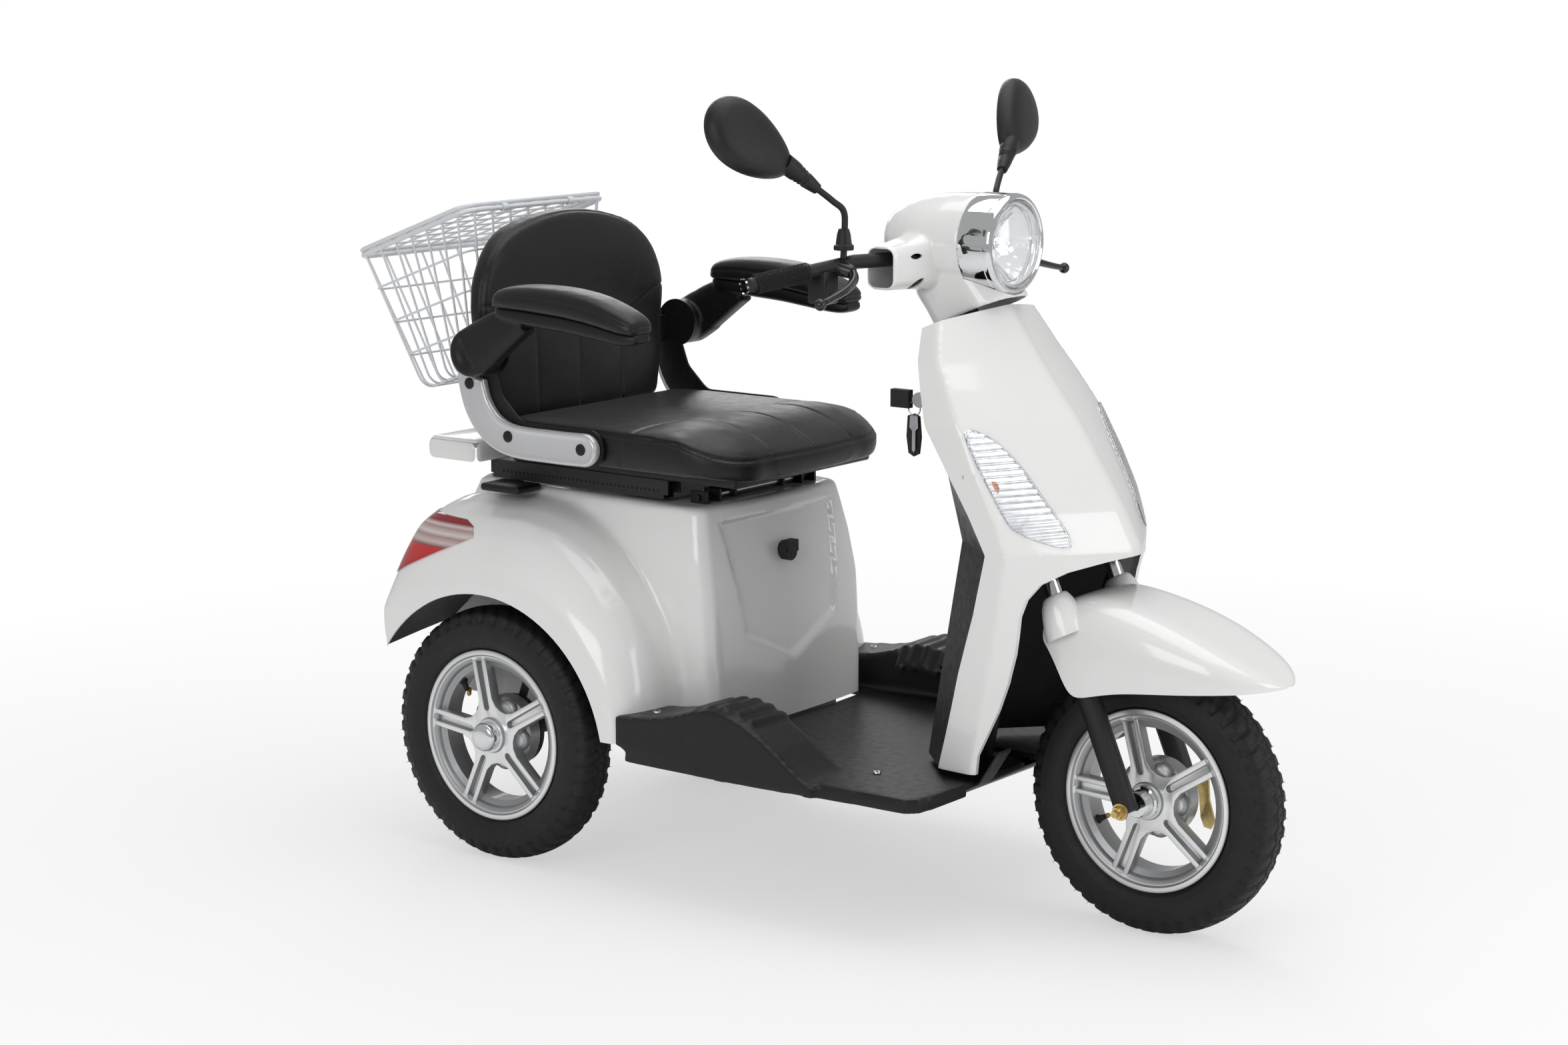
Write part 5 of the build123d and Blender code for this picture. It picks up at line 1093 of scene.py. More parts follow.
# Front fender: a white hood over the wheel that ends in a low point in front, bolted to the fork
# with a raised collar round each stanchion. It turns with the steering.
FENDER_STATIONS = [
    # ahead of the front axle, crown height, lower edge, half width
    (-146, 497, 452, 100), (-132, 510, 442, 106), (-112, 520, 412, 110), (-90, 525, 372, 112),
    (-60, 524, 379, 113),
    (-16, 516, 391, 113), (30, 505, 397, 112), (74, 491, 401, 108), (110, 477, 404, 101), (145, 461, 407, 90),
    (175, 446, 409, 75), (196, 434, 411, 58), (210, 424, 412, 38), (218, 417, 412.5, 18), (220, 415, 413, 8),
]
build = bmesh.new()
rings = []
for ahead, crown, low, half_w in FENDER_STATIONS:
    ring = []
    for i in range(33):
        angle = math.pi * i / 32
        side, rise = math.cos(angle), math.sin(angle)
        across = half_w * math.copysign(abs(side) ** 0.40, side)
        ring.append(at(WHEELBASE + ahead, -across, low + (crown - low) * rise ** 0.62))
    rings.append(ring)
skin_rings(build, rings, closed_round=False)
bmesh.ops.recalc_face_normals(build, faces=build.faces)
front_fender = add_piece("white_front_fender", build, shell_white)
round_off = front_fender.modifiers.new("round_off", "SUBSURF")
round_off.levels = round_off.render_levels = 2
wall = front_fender.modifiers.new("wall", "SOLIDIFY")
wall.thickness, wall.offset = 0.003, -1.0
settle(front_fender)
if sum((p.normal.z > 0) * p.area for p in front_fender.data.polygons if p.center.z > 0.5) <= 0:
    front_fender.data.flip_normals()
for side in (-1, 1):
    slot_line = [stem_point(262, 45 + 17 * math.cos(a),
                            side * 90 + 17 * math.sin(a)) for a in round_angles(24)]
    shift = Vector((-math.sin(RAKE), 0, math.cos(RAKE))) * 0.09
    carve(front_fender, lambda build: skin_rings(
        build, [[at(*p) for p in slot_line], [at(*p) + shift for p in slot_line]], caps=True))
hand_over(crease_shade(front_fender, 30), "steering", "front_fender")

# Collars of the front fender: white moulded domes that the stanchions pass through.
build = bmesh.new()
for side in (-1, 1):
    rings = []
    for up, radius in ((286, 15.2), (318, 15.2), (319.5, 16.5), (319, 18.5), (315, 21.5), (306, 26),
                       (290, 30), (272, 33), (256, 34)):
        rings.append([at(*stem_point(up + 2.0 * math.cos(a), 45 + radius * math.cos(a),
                                     side * 90 + radius * math.sin(a)))
                      for a in round_angles(40)])
    skin_rings(build, rings, closed_along=True)
finish_piece(build, "white_fender_collars", shell_white, "steering", angle=50)

# Fork: chromed stanchions in black lower legs, with a gold-plated axle nut at each end.
stanchion_chrome = new_finish("stanchion_chrome", (0.62, 0.63, 0.65), 0.10, metal=1.0, mottle=0.05, patch=50,
                              scatter=0.03)
dress("fork", powder_coat)
for side in (-1, 1):
    build = bmesh.new()
    low, high = at(*stem_point(296, 45, side * 90)), at(*stem_point(352, 45, side * 90))
    turn = Matrix.Rotation(-RAKE, 3, "Y")
    ring = [turn @ Vector((0.01285 * math.cos(a), 0.01285 * math.sin(a), 0)) for a in round_angles(40)]
    skin_rings(build, [[point + offset for offset in ring] for point in (low, high)], caps=True)
    finish_piece(build, "stanchion_%s" % ("right" if side < 0 else "left"), stanchion_chrome, "steering",
                 angle=38)

# Handlebar cowl: one glossy white moulding, with a round barrel for the headlight, a neck down
# to the leg shield and a wing either side where the bars come out.
HEAD_X, HEAD_Z = stem_point(858)[0], stem_point(858)[2]
LIGHT_X, LIGHT_Z = HEAD_X + 58, HEAD_Z + 37.2


def barrel_form(inset):
    """Returns a builder of the headlight barrel, rounded behind."""
    def builder(build):
        radius, back = 76 - inset, HEAD_X - 116 + inset
        profile = [(back, 0.5), (back + 1.5, 14), (back + 7, 30), (back + 17, 44), (back + 31, 54),
                   (back + 50, 62),
                   (back + 72, 67.5), (back + 98, 71.5), (back + 128, 74.5), (LIGHT_X - 6, 76),
                   (LIGHT_X + 2 * inset, 76)]
        rings = []
        for x, r in profile:
            r = r * radius / 76
            rings.append([at(x, r * math.cos(a), LIGHT_Z + r * math.sin(a)) for a in round_angles(48)])
        skin_rings(build, rings, caps=True)
    return builder


def round_box(width, height, corner, count=6):
    """Points of a rounded rectangle about the origin."""
    points = []
    for cx, cy, start in ((1, 1, 0), (-1, 1, 90), (-1, -1, 180), (1, -1, 270)):
        for i in range(count + 1):
            a = math.radians(start + 90 * i / count)
            points.append((cx * (width / 2 - corner) + corner * math.cos(a),
                           cy * (height / 2 - corner) + corner * math.sin(a)))
    return points


def neck_form(inset):
    """Returns a builder of the neck, lofted along the stem."""
    def builder(build):
        rings = []
        for up, ahead, length, width in ((772 - inset, 24, 144, 120), (800, 17, 141, 119), (830, 8, 140, 118),
                                         (862, 8, 136, 116), (890, 8, 130, 112)):
            rings.append([at(*stem_point(up, ahead + u, v)) for u, v in
                          round_box(length - 2 * inset, width - 2 * inset, 44 - inset)])
        skin_rings(build, rings, caps=True)
    return builder


def wings_form(inset):
    """Returns a builder of the two wings that the bars come out of."""
    def builder(build):
        rings = []
        for y, ahead, above, length, height, corner in (
            (-152 - 2 * inset, -29.9, 3.2, 52, 66, 16), (-110, -27, 5.2, 60, 73, 18),
            (-60, -22, 8.4, 74, 86, 22),
            (0, -17.9, 11.2, 84, 96, 26), (60, -22, 8.4, 74, 86, 22), (110, -27, 5.2, 60, 73, 18),
            (152 + 2 * inset, -29.9, 3.2, 52, 66, 16),
        ):
            rings.append([at(HEAD_X + ahead + u, y, HEAD_Z + above + w) for u, w in
                          round_box(length - 2 * inset, height - 2 * inset, max(4, corner - inset))])
        skin_rings(build, rings, caps=True)
    return builder


cowl = solid_from("white_cowl", barrel_form(0), neck_form(0), wings_form(0))
melt(cowl, 0.0036, 5)


def light_tool(build):
    skin_rings(build, [[at(x, 77.4 * math.cos(a), LIGHT_Z + 77.4 * math.sin(a)) for a in round_angles(72)]
                       for x in (LIGHT_X, LIGHT_X + 200)], caps=True)


def slot_tool(y, z, length, height, lean):
    """Returns a builder of one eye-shaped opening in the cowl's front, at both sides."""
    def builder(build):
        for side in (-1, 1):
            ring = []
            for a in round_angles(24):
                u, v = length / 2 * math.cos(a), height / 2 * math.copysign(abs(math.sin(a)) ** 1.5,
                                                                            math.sin(a))
                ring.append((side * (y + u * math.cos(lean) - v * math.sin(lean)),
                             z + u * math.sin(lean) + v * math.cos(lean)))
            prism(build, ring, HEAD_X - 20, HEAD_X + 70, axis="X")
    return builder


carve(cowl, light_tool, barrel_form(4), neck_form(4), wings_form(4),
      slot_tool(104, HEAD_Z + 20, 26, 9, 0.0), slot_tool(100, HEAD_Z - 22, 30, 11, -0.5),
      box_form(300, 900, -400, -151, 800, 1200), box_form(300, 900, 151, 400, 800, 1200))
hand_over(crease_shade(repaint(cowl, shell_white), 45), "steering", "handlebar_cowl")

# Headlight: a wide chromed band and bezel round a clear domed lens, with a bright faceted bowl and
# its bulb behind the lens.
chrome = new_finish("chrome_plate", (0.80, 0.81, 0.82), 0.05, metal=1.0, mottle=0.02, patch=30, scatter=0.02)
bowl_silver = new_finish("reflector", (0.86, 0.87, 0.88), 0.09, metal=1.0, mottle=0.03, patch=60,
                         scatter=0.03)
tree = bowl_silver.node_tree
place = add_node(tree, "ShaderNodeTexCoord").outputs["Object"]
facets = add_node(tree, "ShaderNodeTexVoronoi", Vector=place, Scale=46.0)
raise_surface(tree, facets.outputs["Distance"], 0.5, 0.004)
head_glass = lens_finish("head_lens", 0.01, (0.97, 0.98, 0.99), fluted=False)


def turned_piece(name, profile, finish, node=None):
    """Piece turned round the headlight's axis from distances ahead of its back and radii."""
    build = bmesh.new()
    rings = [[at(LIGHT_X + x, r * math.cos(a), LIGHT_Z + r * math.sin(a)) for a in round_angles(72)]
             for x, r in profile]
    skin_rings(build, rings, closed_along=True)
    bmesh.ops.remove_doubles(build, verts=build.verts, dist=0.00001)
    finish_piece(build, name, finish, "steering", node, angle=34)


turned_piece("headlight_band", [
    (0.5, 60), (0.5, 76.4), (3, 77), (30, 77), (44, 76.6), (45, 75.6), (46.5, 75.6), (47.5, 77), (54, 77.4),
    (58, 76.4),
    (60.5, 74), (61, 71), (59.5, 68.6), (57, 68), (52, 67), (50, 62), (46, 60)], chrome,
    "headlight")
turned_piece("headlight_bowl", [
    (50, 67.5), (44, 62), (36, 54), (27, 44), (19, 33), (13, 22), (10, 12), (9, 10), (6, 10), (6, 20),
    (14, 36),
    (24, 50), (36, 60), (46, 67.5)], bowl_silver)
turned_piece("headlight_bulb", [
    (9, 9), (26, 9), (28, 7.5), (42, 7.5), (46, 6), (48, 3), (48.6, 0.2), (8, 0.2)], chrome)
turned_piece("headlight_lens", [
    (54, 67.6), (58.5, 67.2), (63, 62), (68, 52), (72, 40), (75, 26), (76.6, 12), (77, 0.2), (74.5, 0.2),
    (74, 12),
    (72.5, 26), (69.5, 40), (65.5, 52), (60.5, 62), (56, 65), (54, 65)], head_glass)

# Bars: black steel tube with knurled rubber grips and drilled, screwed-in bar ends. A switch
# block and the clamp of a ball-ended brake lever stand inboard of each grip.
dress("handlebar", powder_coat)
grip_rubber = new_finish("grip_rubber", (0.012, 0.012, 0.012), 0.6, mottle=0.15, patch=40, pebble=0.5,
                         pebble_size=1400)
switch_black = new_finish("switch_black", (0.010, 0.010, 0.011), 0.30, mottle=0.1, patch=30, pebble=0.2,
                          pebble_size=1700)
lever_black = new_finish("lever_black", (0.012, 0.012, 0.013), 0.22, coat=0.4, mottle=0.1, patch=40, edge_highlight=0.2)


def off_head(ahead, across, above):
    """A point given by its distances from the top of the stem."""
    return at(HEAD_X + ahead, across, HEAD_Z + above)


def tube_along(build, path, radii, steps=18):
    """Adds a round form along a path of points, with a radius in millimetres at each."""
    aside = (path[1] - path[0]).orthogonal().normalized()
    rings = []
    for i, point in enumerate(path):
        along = (path[min(i + 1, len(path) - 1)] - path[max(i - 1, 0)]).normalized()
        aside = (aside - along * aside.dot(along)).normalized()
        over = along.cross(aside)
        rings.append([point + (aside * math.cos(a) + over * math.sin(a)) * (radii[i] / 1000)
                      for a in round_angles(steps)])
    skin_rings(build, rings, caps=True)


def bar_turned(build, side, profile, steps=36):
    """Adds a form turned about a handlebar's end, from distances in from its tip and radii."""
    tip, bend = off_head(-126, side * 352, -12), off_head(-53, side * 190, 15)
    along = (bend - tip).normalized()
    tube_along(build, [tip + along * (d / 1000) for d, _ in profile], [r for _, r in profile], steps)
    return tip, along


GRIP = [(-3, 0.3), (-3, 11), (-2, 14), (0, 16), (6, 16.2), (8, 15.0), (9, 14.2), (103, 14.2), (105, 15.5),
        (107, 18.4),
        (109, 19), (116, 19), (117, 18), (117.5, 0.3)]
build, knurls = bmesh.new(), []
for side in (-1, 1):
    tip, along = bar_turned(build, side, GRIP)
    aside = along.orthogonal().normalized()
    over = along.cross(aside)
    for row in range(26):
        for n in range(26):
            a = 2 * math.pi * (n + 0.5 * (row % 2)) / 26
            out = aside * math.cos(a) + over * math.sin(a)
            knurls.append((tip + along * ((11 + row * 3.5) / 1000) + out * 0.0141, out))
finish_piece(build, "grip_cores", grip_rubber, "steering", "grips")
set_studs("grip_knurling", knurls, grip_rubber, "steering", 2.1, 0.7, 1.1, sides=4)
build, holes = bmesh.new(), []
for side in (-1, 1):
    tip, along = bar_turned(build, side, [(-17, 0.3), (-17, 8), (-15.5, 11), (-13, 12.2), (-5, 12.2),
                                          (-4, 10), (-2.5, 10), (-2.5, 0.3)])
    aside = along.orthogonal().normalized()
    over = along.cross(aside)
    for a in round_angles(9):
        out = aside * math.cos(a) + over * math.sin(a)
        holes.append((tip - along * 0.009 + out * 0.0121, out))
finish_piece(build, "bar_ends", lever_black, "steering")
set_studs("bar_end_pins", holes, chrome, "steering", 1.9, 1.5, 0.5, sides=10)

LEVER_PATH = [(-50, 212, 4), (-36, 216, 0), (-22, 232, -8), (-13, 262, -18), (-9, 300, -27), (-7, 326, -32)]
build = bmesh.new()
for side in (-1, 1):
    bar_turned(build, side, [(117.8, 0.3), (117.8, 19), (119, 20.5), (132, 21), (133, 19.5), (134, 19.5),
                             (135, 22), (152, 22),
                             (154, 20), (160, 18), (160.5, 0.3)])
    path = smooth_line([(x, side * y, z) for x, y, z in LEVER_PATH], 6)
    radii = [8.5 - 3.6 * soft_step(0, len(path) - 1, i) for i in range(len(path))]
    tube_along(build, [off_head(*p) for p in path], radii)
    ball = off_head(-7, side * 336, -34)
    ring = [(9 * math.cos(a), 9 * math.sin(a) + 0.02) for a in (math.pi * i / 12 for i in range(13))]
    tube_along(build, [ball + Vector((0, side * c / 1000, 0)) for c, _ in ring[::-1]],
               [r for _, r in ring[::-1]])
    tube_along(build, [off_head(-66, side * 214, 8), off_head(-40, side * 214, 3),
                       off_head(-36, side * 214, 2)], [13, 11, 9])
finish_piece(build, "lever_sets", lever_black, "steering", "brake_levers")
switches = solid_from("switch_blocks", *[
    box_form(HEAD_X + x0, HEAD_X + x1, *sorted((side * y0, side * y1)), HEAD_Z + z0, HEAD_Z + z1)
    for side in (-1, 1)
    for x0, x1, y0, y1, z0, z1 in ((-96, -60, 216, 250, -46, 4), (-102, -94, 224, 242, -34, -20))])
soften_edges(repaint(switches, switch_black), 0.004, 3)
hand_over(crease_shade(switches), "steering")

# Mirrors: teardrop heads of grained black plastic with silvered glass, on bent steel stems that
# are screwed into the lever clamps through rubber boots.
mirror_black = new_finish("mirror_black", (0.012, 0.012, 0.013), 0.34, mottle=0.1, patch=20, pebble=0.3,
                          pebble_size=1600)
mirror_glass = new_finish("mirror_glass", (0.86, 0.87, 0.88), 0.03, metal=1.0, mottle=0.01, scatter=0.01)
heads, glasses = bmesh.new(), bmesh.new()
for side in (-1, 1):
    path = smooth_line([(-59, side * 207, 20), (-57, side * 207, 60), (-58, side * 208, 92),
                        (-66, side * 226, 109),
                        (-79, side * 261, 135), (-88, side * 288, 154)], 7)
    tube_along(heads, [off_head(*p) for p in path], [5.0] * len(path))
    boot = [(34, 15), (36, 15.6), (41, 15.4), (43, 12.5), (58, 10.5), (66, 8), (67, 5)]
    tube_along(heads, [off_head(-58.4, side * 207, z) for z, _ in boot], [r for _, r in boot])
    foot, neck = off_head(-75, side * 251, 127), off_head(-95, side * 307, 169)
    sleeve = [(0, 5), (0.02, 8.5), (0.20, 10.5), (0.36, 12), (0.40, 10.8), (0.46, 12.6), (0.50, 11.4),
              (0.56, 13.4), (0.60, 12.4),
              (0.66, 14.4), (0.8, 15), (1, 15)]
    tube_along(heads, [foot.lerp(neck, t) for t, _ in sleeve], [r for _, r in sleeve])
    up = Vector((-29, side * 77, 53)).normalized()
    face = Vector((-1, side * 0.2, 0))
    face = (face - up * face.dot(up)).normalized()
    aside = face.cross(up)
    centre = off_head(-115, side * 361, 204)

    def head_ring(scale, depth):
        ring = []
        for a in round_angles(56):
            along, wide = math.cos(a), math.sin(a) * (1 + 0.27 * math.cos(a)) * 0.96
            spot = up * 82.5 * along * scale + aside * 54 * wide * scale + face * depth
            ring.append(centre + spot / 1000)
        return ring

    skin_rings(heads, [head_ring(*row) for row in (
        (0.90, 12.2), (0.93, 14.5), (0.965, 15), (0.99, 13.5), (1, 10), (0.995, 4), (0.96, -3), (0.88, -9),
        (0.74, -13),
        (0.54, -15.6), (0.3, -17), (0.02, -17.4))], caps=True)
    skin_rings(glasses, [head_ring(0.91, 12.0), head_ring(0.915, 12.8), head_ring(0.90, 13.2),
                         head_ring(0.02, 13.4)], caps=True)
finish_piece(heads, "mirror_heads", mirror_black, "steering", "mirrors", angle=44)
finish_piece(glasses, "mirror_glasses", mirror_glass, "steering")

# Key: a flat key in the lock, with a spring ring, a spare key and a leather tag hanging from it.
key_steel = new_finish("key_steel", (0.50, 0.51, 0.53), 0.24, metal=1.0, mottle=0.1, patch=90)
build = bmesh.new()
prism(build, [(733, 795), (733, 805), (704, 805), (704, 795)], -101.2, -98.8)
prism(build, [(678 + 13 * math.cos(a) + 13, 800 + 12 * math.sin(a)) for a in round_angles(20)], -102, -98)
RING_R, WIRE_R = 11, 1.1
skin_rings(build, [[at(681 + (RING_R + WIRE_R * math.cos(b)) * math.cos(a), -100 + WIRE_R * math.sin(b),
                       786 + (RING_R + WIRE_R * math.cos(b)) * math.sin(a)) for b in round_angles(8)]
                   for a in round_angles(32)], closed_along=True)
prism(build, [(676, 775), (690, 775), (691, 757), (686, 752), (686, 722), (683, 718), (680, 722), (680, 752),
              (675, 757)],
      -104.5, -102.5)
finish_piece(build, "key_ring", key_steel, "chassis")
build = bmesh.new()
prism(build, [(668, 774), (680, 778), (690, 774), (693, 742), (690, 716), (680, 711), (670, 716), (666, 742)],
      -99.5, -96)
finish_piece(build, "key_tag", liner_black, "chassis")

# Fasteners: gold-plated axle nuts and brake arm on the front wheel, zinc screws on the wings.
gold_zinc = new_finish("gold_zinc", (0.66, 0.50, 0.22), 0.26, metal=1.0, mottle=0.16, patch=90, scatter=0.08)
for name, out_y, root, tip, height, sides in (
    ("axle_washers", 108, 13.5, 13.0, 2.4, 28), ("axle_nuts", 110.4, 10.4, 9.6, 8.5, 6),
    ("axle_bolt_ends", 117, 6.0, 5.2, 10.0, 20)):
    spots = [(at(WHEELBASE, side * out_y, AXLE_Z), Vector((0, side, 0))) for side in (-1, 1)]
    set_studs(name, spots, gold_zinc, "steering", root, tip, height, sides=sides)
build = bmesh.new()
prism(build, [(1112, 240), (1124, 248), (1134, 240), (1136, 210), (1146, 176), (1140, 164), (1128, 166),
              (1122, 180), (1118, 214)],
      36, 40)
finish_piece(build, "brake_arm", gold_zinc, "steering")
screws = [(at(326, side * 296, 292), Vector((0, 0, 1))) for side in (-1, 1)]
screws += [(at(x, side * 221, 237), Vector((0, 0, 1))) for side in (-1, 1) for x in (560, 700)]
# The sockets are not cut: a thin black hexagon on each screw head is painted shade where the socket's recess
# is.
for name, root, tip, height, sides, lift, finish in (("panel_screws", 6.5, 5.6, 2.2, 24, 0.0, zinc),
                                                     ("screw_socket_shade", 2.9, 2.9, 0.4, 6, 0.0020,
                                                      liner_black)):
    set_studs(name, [(p + a * lift, a) for p, a in screws], finish, "chassis", root, tip,
              height, sides=sides)

# Seat cushion: black synthetic leather over foam, with a flat rear, a puffed front in four long
# channels, a cross seam and a boxed side wall. The cover is blown up as cloth between its seams.
leather = new_finish("black_leather", (0.0068, 0.0068, 0.0072), 0.36, mottle=0.18, patch=9, scatter=0.06,
                     pebble=0.30, pebble_size=640, sheen=0.08)
thread = new_finish("black_thread", (0.03, 0.03, 0.032), 0.6, mottle=0.2, patch=200)
SEAM_CROSS_X = 205
CHANNELS = (-108, 0, 108)


def cushion_outline(inset):
    half, front, rear = 238 - inset, 424 - inset, -58 + inset
    right = [(rear, -half + 24), (rear + 24, -half + 5), (rear + 60, -half), (120, -half), (230, -half)]
    right += arc_points((322 - inset * 0.3, -half), (396 - inset * 0.8, 36 - half), (front - 6, 110 - half),
                        12)
    nose = arc_points((front - 6, 110 - half), (front, 0), (front - 6, half - 110), 10)[1:-1]
    return right + nose + [(x, -y) for x, y in reversed(right)]


def seam_height(x):
    return 717 - 32 * soft_step(290, 424, x)


def base_height(x):
    return 659 - 11 * soft_step(350, 420, x)


CROWN_LINE = [(-58, 720), (0, 718), (100, 718), (170, 720), (205, 723), (250, 732), (300, 735), (340, 729),
              (380, 713),
              (405, 699), (424, 687)]


def crown_height(x, y):
    """Height of the cushion's top, which falls to its seam at the sides and in front."""
    for (x0, z0), (x1, z1) in zip(CROWN_LINE, CROWN_LINE[1:]):
        if x <= x1:
            break
    crown = z0 + (z1 - z0) * min(1, max(0, (x - x0) / (x1 - x0)))
    return crown + (seam_height(x) + 5 - crown) * soft_step(150, 238, abs(y))


def cushion_form(build):
    rings = []
    for share, inset in ((0, 15), (0.03, 7), (0.14, 2), (0.4, 0), (0.8, 0), (0.98, 1), (1.06, 6)):
        rings.append([at(x, y, base_height(x) + share * (seam_height(x) - base_height(x)))
                      for x, y in cushion_outline(inset)])
    for scale in (0.94, 0.86, 0.74, 0.6, 0.45, 0.3, 0.15, 0.03):
        plan = [(185 + (x - 185) * scale, y * scale) for x, y in cushion_outline(0)]
        rings.append([at(x, y, crown_height(x, y)) for x, y in plan])
    skin_rings(build, rings, caps=True)


def blow_up(piece, held, pressure, cap, voxel):
    """Puffs a padded piece as cloth, held where the function gives 1, and moves it no further than cap."""
    melt(piece, voxel, 3)
    rest = [v.co.copy() for v in piece.data.vertices]
    group = piece.vertex_groups.new(name="held")
    for vertex in piece.data.vertices:
        group.add([vertex.index], held(vertex.co, vertex.normal), "REPLACE")
    cloth = piece.modifiers.new("cover", "CLOTH")
    cloth.settings.quality = 5
    cloth.settings.mass = 0.3
    cloth.settings.tension_stiffness = 15
    cloth.settings.compression_stiffness = 15
    cloth.settings.bending_stiffness = 0.6
    cloth.settings.use_pressure = True
    cloth.settings.uniform_pressure_force = pressure
    cloth.settings.effector_weights.gravity = 0
    cloth.settings.vertex_group_mass = "held"
    cloth.collision_settings.use_collision = False
    for number in range(1, 21):
        bpy.context.scene.frame_set(number)
    settle(piece)
    bpy.context.scene.frame_set(1)
    piece.vertex_groups.clear()
    for vertex, start in zip(piece.data.vertices, rest):
        move = vertex.co - start
        if move.length > cap:
            vertex.co = start + move * (cap / move.length)
    finer = piece.modifiers.new("finer", "SUBSURF")
    finer.levels = finer.render_levels = 1
    return settle(piece)


def away_from(value, edge, width):
    """1 on a seam and 0 from a width away."""
    return 1 - soft_step(0, width, abs(value - edge))


def outline_reach(x, y):
    """How far a point lies inside the cushion's outline."""
    line = cushion_outline(0)
    nearest = 1e9
    for (ax, ay), (bx, by) in zip(line, line[1:] + line[:1]):
        dx, dy = bx - ax, by - ay
        t = min(1, max(0, ((x - ax) * dx + (y - ay) * dy) / (dx * dx + dy * dy or 1)))
        nearest = min(nearest, math.hypot(x - ax - t * dx, y - ay - t * dy))
    return nearest


def cushion_seams(co, normal, width):
    """1 on the cushion's seams, fading to 0 a width away."""
    x, y, z = in_mm(co)
    seam = away_from(z, seam_height(x), width) if normal.z < 0.8 and outline_reach(x, y) < 12 else 0.0
    if normal.z > 0.35:
        reach = outline_reach(x, y)
        seam = max(seam, away_from(x, SEAM_CROSS_X + 0.0004 * y * y, width))
        if x > SEAM_CROSS_X and reach > 8:
            seam = max(seam, *[away_from(y, channel, width) for channel in CHANNELS])
    elif abs(normal.y) > 0.7 and x < 300:
        seam = max(seam, away_from(x, SEAM_CROSS_X, width) * 0.6)
    return seam


cushion = solid_from("leather_cushion", cushion_form)


def draw_in(piece, depth, seams, width):
    """Draws a cover in along its seams."""
    for vertex, normal in zip(piece.data.vertices, [v.normal.copy() for v in piece.data.vertices]):
        vertex.co -= normal * depth * seams(vertex.co, normal, width)


def cushion_held(co, normal):
    if co.z < 0.672 or normal.z < -0.5:
        return 1.0
    rear = 0.55 if in_mm(co)[0] < SEAM_CROSS_X else 0.0
    return max(rear, cushion_seams(co, normal, 7))


blow_up(cushion, cushion_held, 4.5, 0.013, 0.0068)
draw_in(cushion, 0.0021, cushion_seams, 4.5)
repaint(cushion, leather)
hand_over(cushion, "seat", "seat_cushion")

# Stitches: heavy black thread sewn through the seams, a row each side of the cushion's edge.


def stitch_nodes():
    """Geometry Nodes that lay stitches of one length along a line."""
    tree, give = group_tree("stitches", "Seam", Float=("Pitch", "Stitch Length", "Thread Radius"))
    line = add_node(tree, "GeometryNodeMeshToCurve", give["Seam"])
    spread = add_node(tree, "GeometryNodeResampleCurve", Curve=line.outputs[0], Length=give["Pitch"],
                      mode="LENGTH")
    stitch = add_node(tree, "GeometryNodeMeshCylinder", Vertices=6, Depth=give["Stitch Length"],
                      Radius=give["Thread Radius"])
    run = add_node(tree, "GeometryNodeInputTangent")
    turn = add_node(tree, "FunctionNodeAlignRotationToVector", Vector=run.outputs[0])
    turn.axis = "Z"
    stand = add_node(tree, "GeometryNodeInstanceOnPoints", Points=spread.outputs[0],
                     Instance=stitch.outputs["Mesh"], Rotation=turn.outputs[0])
    return end_tree(tree, give, stand.outputs[0])


STITCHES = stitch_nodes()


def sew(name, cover, lines):
    """Rows of stitches laid on a cover's surface along lines of points."""
    verts, edges = [], []
    for line in lines:
        first = len(verts)
        for point in line:
            _, spot, normal, _ = cover.closest_point_on_mesh(point)
            verts.append(spot + normal * 0.0002)
        edges += [(i, i + 1) for i in range(first, len(verts) - 1)]
    piece = run_nodes(wire_frame(name, verts, edges), STITCHES, {
        "Pitch": 0.0062, "Stitch Length": 0.0044, "Thread Radius": 0.00055, "Finish": thread})
    hand_over(piece, "seat")


edge_line = cushion_outline(-1)[2:-2]
sew("cushion_stitches", cushion, [
    [at(x, y, seam_height(x) + lift) for x, y in smooth_line(edge_line, 3)] for lift in (6.5, -6.5)])

# Backrest: the same leather on a foam pad, with a stitched boxed edge, a yoke seam that dips to
# the middle and three sewn channels below it.
BACK_LEAN = math.radians(2.2)


def on_back(across, up, deep):
    """A point of the backrest by its width, its height along it and its depth behind the front."""
    s, c = math.sin(BACK_LEAN), math.cos(BACK_LEAN)
    deep = deep * (1 - 0.28 * soft_step(130, 233, abs(across)))
    return at(-74 - s * up - c * deep, across, 732 + c * up - s * deep)


def back_outline(inset):
    half, top = 233 - inset, 316 - inset
    right = [(half - 40, inset - 34), (half - 20, inset * 0.6 - 20), (half - 7, 40), (half, 130)]
    right += arc_points((half, 130), (half - 19, 240), (half - 84, top - 24), 14)[1:]
    over = arc_points((half - 84, top - 24), (0, top), (84 - half, top - 24), 14)[1:-1]
    return right + over + [(-y, z) for y, z in reversed(right)]


def back_form(build):
    rings = []
    for deep, inset in ((4, 20), (6, 12), (11, 5), (19, 1), (32, 0), (46, 0), (54, 4), (59, 12)):
        rings.append([on_back(y, up, deep) for y, up in back_outline(inset)])
    skin_rings(build, rings, caps=True)


def yoke_line(y):
    """Height of the yoke seam above the backrest's bottom at a width."""
    return 134 + 36 * soft_step(105, 225, abs(y))


